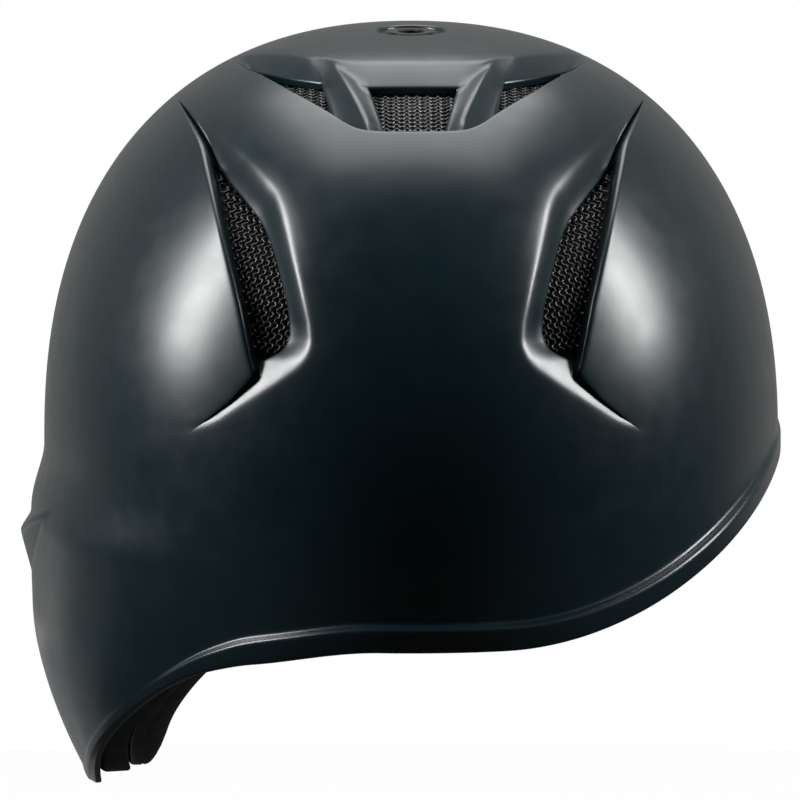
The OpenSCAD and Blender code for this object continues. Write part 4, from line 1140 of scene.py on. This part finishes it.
# Ear cushion: soft foam in a black leathercloth cover, sewn round its edge, on tape over the ear
# flap's foam block.
EAR_CUSHION_TOP = EAR_BASE_BASE + 3 * SEAT_GAP + 2 * TAPE_THICK
CUSHION_INSET, CUSHION_LIFT, HOLE_GROW, SEWN_IN, SEWN_AT = 3.4, 1.2, 1, 5.25, 0.94
leathercloth, shader = new_material("leathercloth")
crease = add_mottle(shader, 180, 0.42, 0.6, "Roughness")
add_tones(shader, crease.outputs["Height"], (0.0032, 0.007, 0.0075), (0.006, 0.012, 0.013))
grain = add_texture(shader.id_data, "TexVoronoi", {"Scale": 950}, feature="DISTANCE_TO_EDGE")
add_bump(shader, grain.outputs["Distance"], 0.25, 0.0003)


def full_profile():
    """Section of a full cushion: back with a skirt, upright sides with a sewn groove, round front.

    Gives the share of the way from hole to rim, the shift and the skirt in mm, and the share of the
    thickness."""
    side_shift = np.array([3.6, 3.0, 2.2, 1.2, 0.4, 0.05, 0.0, 0.35, 0.05, 0.2, 0.6, 1.2, 2.0, 3.0, 4.2,
        5.0, 5.5, 6.0, 6.9])
    side_skirt = np.array([0, -1.3, -2.1, -2.2, -2.0, -1.2] + 13 * [0.0])
    side_drop = np.array(6 * [0.0] + [0.12, 0.2, 0.26, 0.4, 0.53, 0.65, 0.76, 0.86, 0.94, 0.93, 0.93,
        0.96, 1.0])
    bulge = 1.02 - 0.02 * (2 * FLAT - 1) ** 2
    skirt = np.r_[0 * FLAT, side_skirt, 0 * FLAT, side_skirt[::-1]]
    drop = np.r_[0 * FLAT, side_drop, bulge[::-1], side_drop[::-1]]
    return *ring_course(side_shift, 0.25 + 0.5 * FLAT[::-1]), skirt, drop


share, shift, skirt, drop = full_profile()
made = ear_ring(CUSHION_INSET, HOLE_GROW, share, shift, EAR_CUSHION_TOP + skirt, drop, CUSHION_LIFT)
edge_r = ear_rim(angle, CUSHION_INSET, CUSHION_LIFT)
edge_r = edge_r - SEWN_IN * np.minimum(1, (edge_r - HOLE_GROW - ear_opening(angle)) / FULL_WIDTH)
u, v, lift, faces = stitch_line(polar(edge_r, angle))
sewn_depth = EAR_CUSHION_TOP + SEWN_AT * cushion_thick(np.arctan2(v, u)) + lift
sewn = in_wall(u * FLAP_TURN, EAR_Z + v, sewn_depth)
fit_pad("ear_soft", "ear_hem_stitches", "ear_cushion", made, (sewn, faces), leathercloth)

# Studio: white ground that fills the picture, two tall softboxes either side for the long highlights,
# a panel overhead for the grey sheen on the crown, and a faint card low in front of the flap.
world = bpy.data.worlds.new("studio")
bpy.context.scene.world = world
world.use_nodes = True
tree = world.node_tree
room = tree.nodes["Background"]
room.inputs["Color"].default_value = (0.006, 0.007, 0.008, 1)
backdrop = add_node(tree, "Background", {"Color": (1, 0.96, 0.90, 1), "Strength": 0.33})
white_back = add_node(tree, "Background", {"Color": (1, 1, 1, 1)})
way = add_node(tree, "TexCoord")
split = add_node(tree, "SeparateXYZ")
rear_part = {"From Min": -0.05, "From Max": -0.85}
behind = add_node(tree, "MapRange", rear_part, interpolation_type="SMOOTHSTEP")
path = add_node(tree, "LightPath")
seen = add_node(tree, "Math", operation="MULTIPLY")
mirrored, pick = add_node(tree, "MixShader"), add_node(tree, "MixShader")
link(way.outputs["Generated"], split.inputs["Vector"])
link(split.outputs["Y"], behind.inputs["Value"])
link(path.outputs["Is Glossy Ray"], seen.inputs[0])
link(behind.outputs["Result"], seen.inputs[1])
link(seen.outputs["Value"], mirrored.inputs["Fac"])
link(room.outputs["Background"], mirrored.inputs[1])
link(backdrop.outputs["Background"], mirrored.inputs[2])
link(path.outputs["Is Camera Ray"], pick.inputs["Fac"])
link(mirrored.outputs["Shader"], pick.inputs[1])
link(white_back.outputs["Background"], pick.inputs[2])
link(pick.outputs["Shader"], tree.nodes["World Output"].inputs["Surface"])


def softbox(name, place, size, power, aim=(0, 0, 0.06)):
    """A rectangular lamp at a place, facing the aim point."""
    data = bpy.data.lights.new(name, "AREA")
    data.shape = "RECTANGLE"
    data.size, data.size_y = size
    data.energy = power
    lamp = bpy.data.objects.new(name, data)
    lamp.location = place
    lamp.visible_camera = False
    lamp.rotation_euler = (Vector(aim) - Vector(place)).to_track_quat("-Z", "Y").to_euler()
    bpy.context.scene.collection.objects.link(lamp)


softbox("left_box", (1.32, 0.17, 0.80), (0.36, 1.05), 36)
softbox("right_box", (-1.32, 0.15, 0.82), (0.36, 0.95), 31)
softbox("top_panel", (0, -0.5, 1.25), (0.95, 1.1), 14.5)
softbox("flap_card", (0.62, -0.62, -0.285), (1.0, 1.0), 1.1, (0.62, -0.62, 1))

GROUND_RADIUS, GROUND_LEVEL, GROUND_SIDES = 1.1, -0.30, 96
ground_spin = np.linspace(0, 2 * math.pi, GROUND_SIDES, endpoint=False)
ground_points = polar(GROUND_RADIUS, ground_spin, np.full(GROUND_SIDES, GROUND_LEVEL))
ground = bpy.data.meshes.new("ground")
ground.from_pydata(ground_points.tolist(), [], [range(GROUND_SIDES)])
ground_disc = bpy.data.objects.new("ground", ground)
bpy.context.scene.collection.objects.link(ground_disc)
pale, shader = new_material("pale_ground", {"Base Color": (0.8, 0.8, 0.8, 1), "Roughness": 0.9})
tree = shader.id_data
glow = add_node(tree, "Emission")
dim = add_node(tree, "BsdfDiffuse", {"Color": (0.03, 0.03, 0.03, 1)})
path = add_node(tree, "LightPath")
seen, pick = add_node(tree, "MixShader", {"Fac": 0.93}), add_node(tree, "MixShader")
link(shader.outputs["BSDF"], seen.inputs[1])
link(glow.outputs["Emission"], seen.inputs[2])
link(path.outputs["Is Camera Ray"], pick.inputs["Fac"])
link(dim.outputs["BSDF"], pick.inputs[1])
link(seen.outputs["Shader"], pick.inputs[2])
link(pick.outputs["Shader"], tree.nodes["Material Output"].inputs["Surface"])
ground.materials.append(pale)

# Camera: straight behind, 11 degrees up, from three metres, framed as the photograph is.
azimuth, elevation, distance = math.radians(179.2), math.radians(11), 3.0
right = Vector((math.cos(azimuth), math.sin(azimuth), 0))
back = Vector((math.sin(azimuth) * math.cos(elevation), -math.cos(azimuth) * math.cos(elevation),
    math.sin(elevation)))
above = back.cross(right)
target = Vector((0, 0, 0.0372))
eye = target + back * distance
aim = target + right * -0.00318 + above * 0.01128
lens = bpy.data.cameras.new("camera")
lens.lens = 466.7
lens.sensor_width = 36
lens.clip_end = 100
camera = bpy.data.objects.new("camera", lens)
camera.location = eye
camera.rotation_euler = (aim - eye).to_track_quat("-Z", "Y").to_euler()
bpy.context.scene.collection.objects.link(camera)
bpy.context.scene.camera = camera
bpy.context.scene.view_settings.view_transform = "Standard"
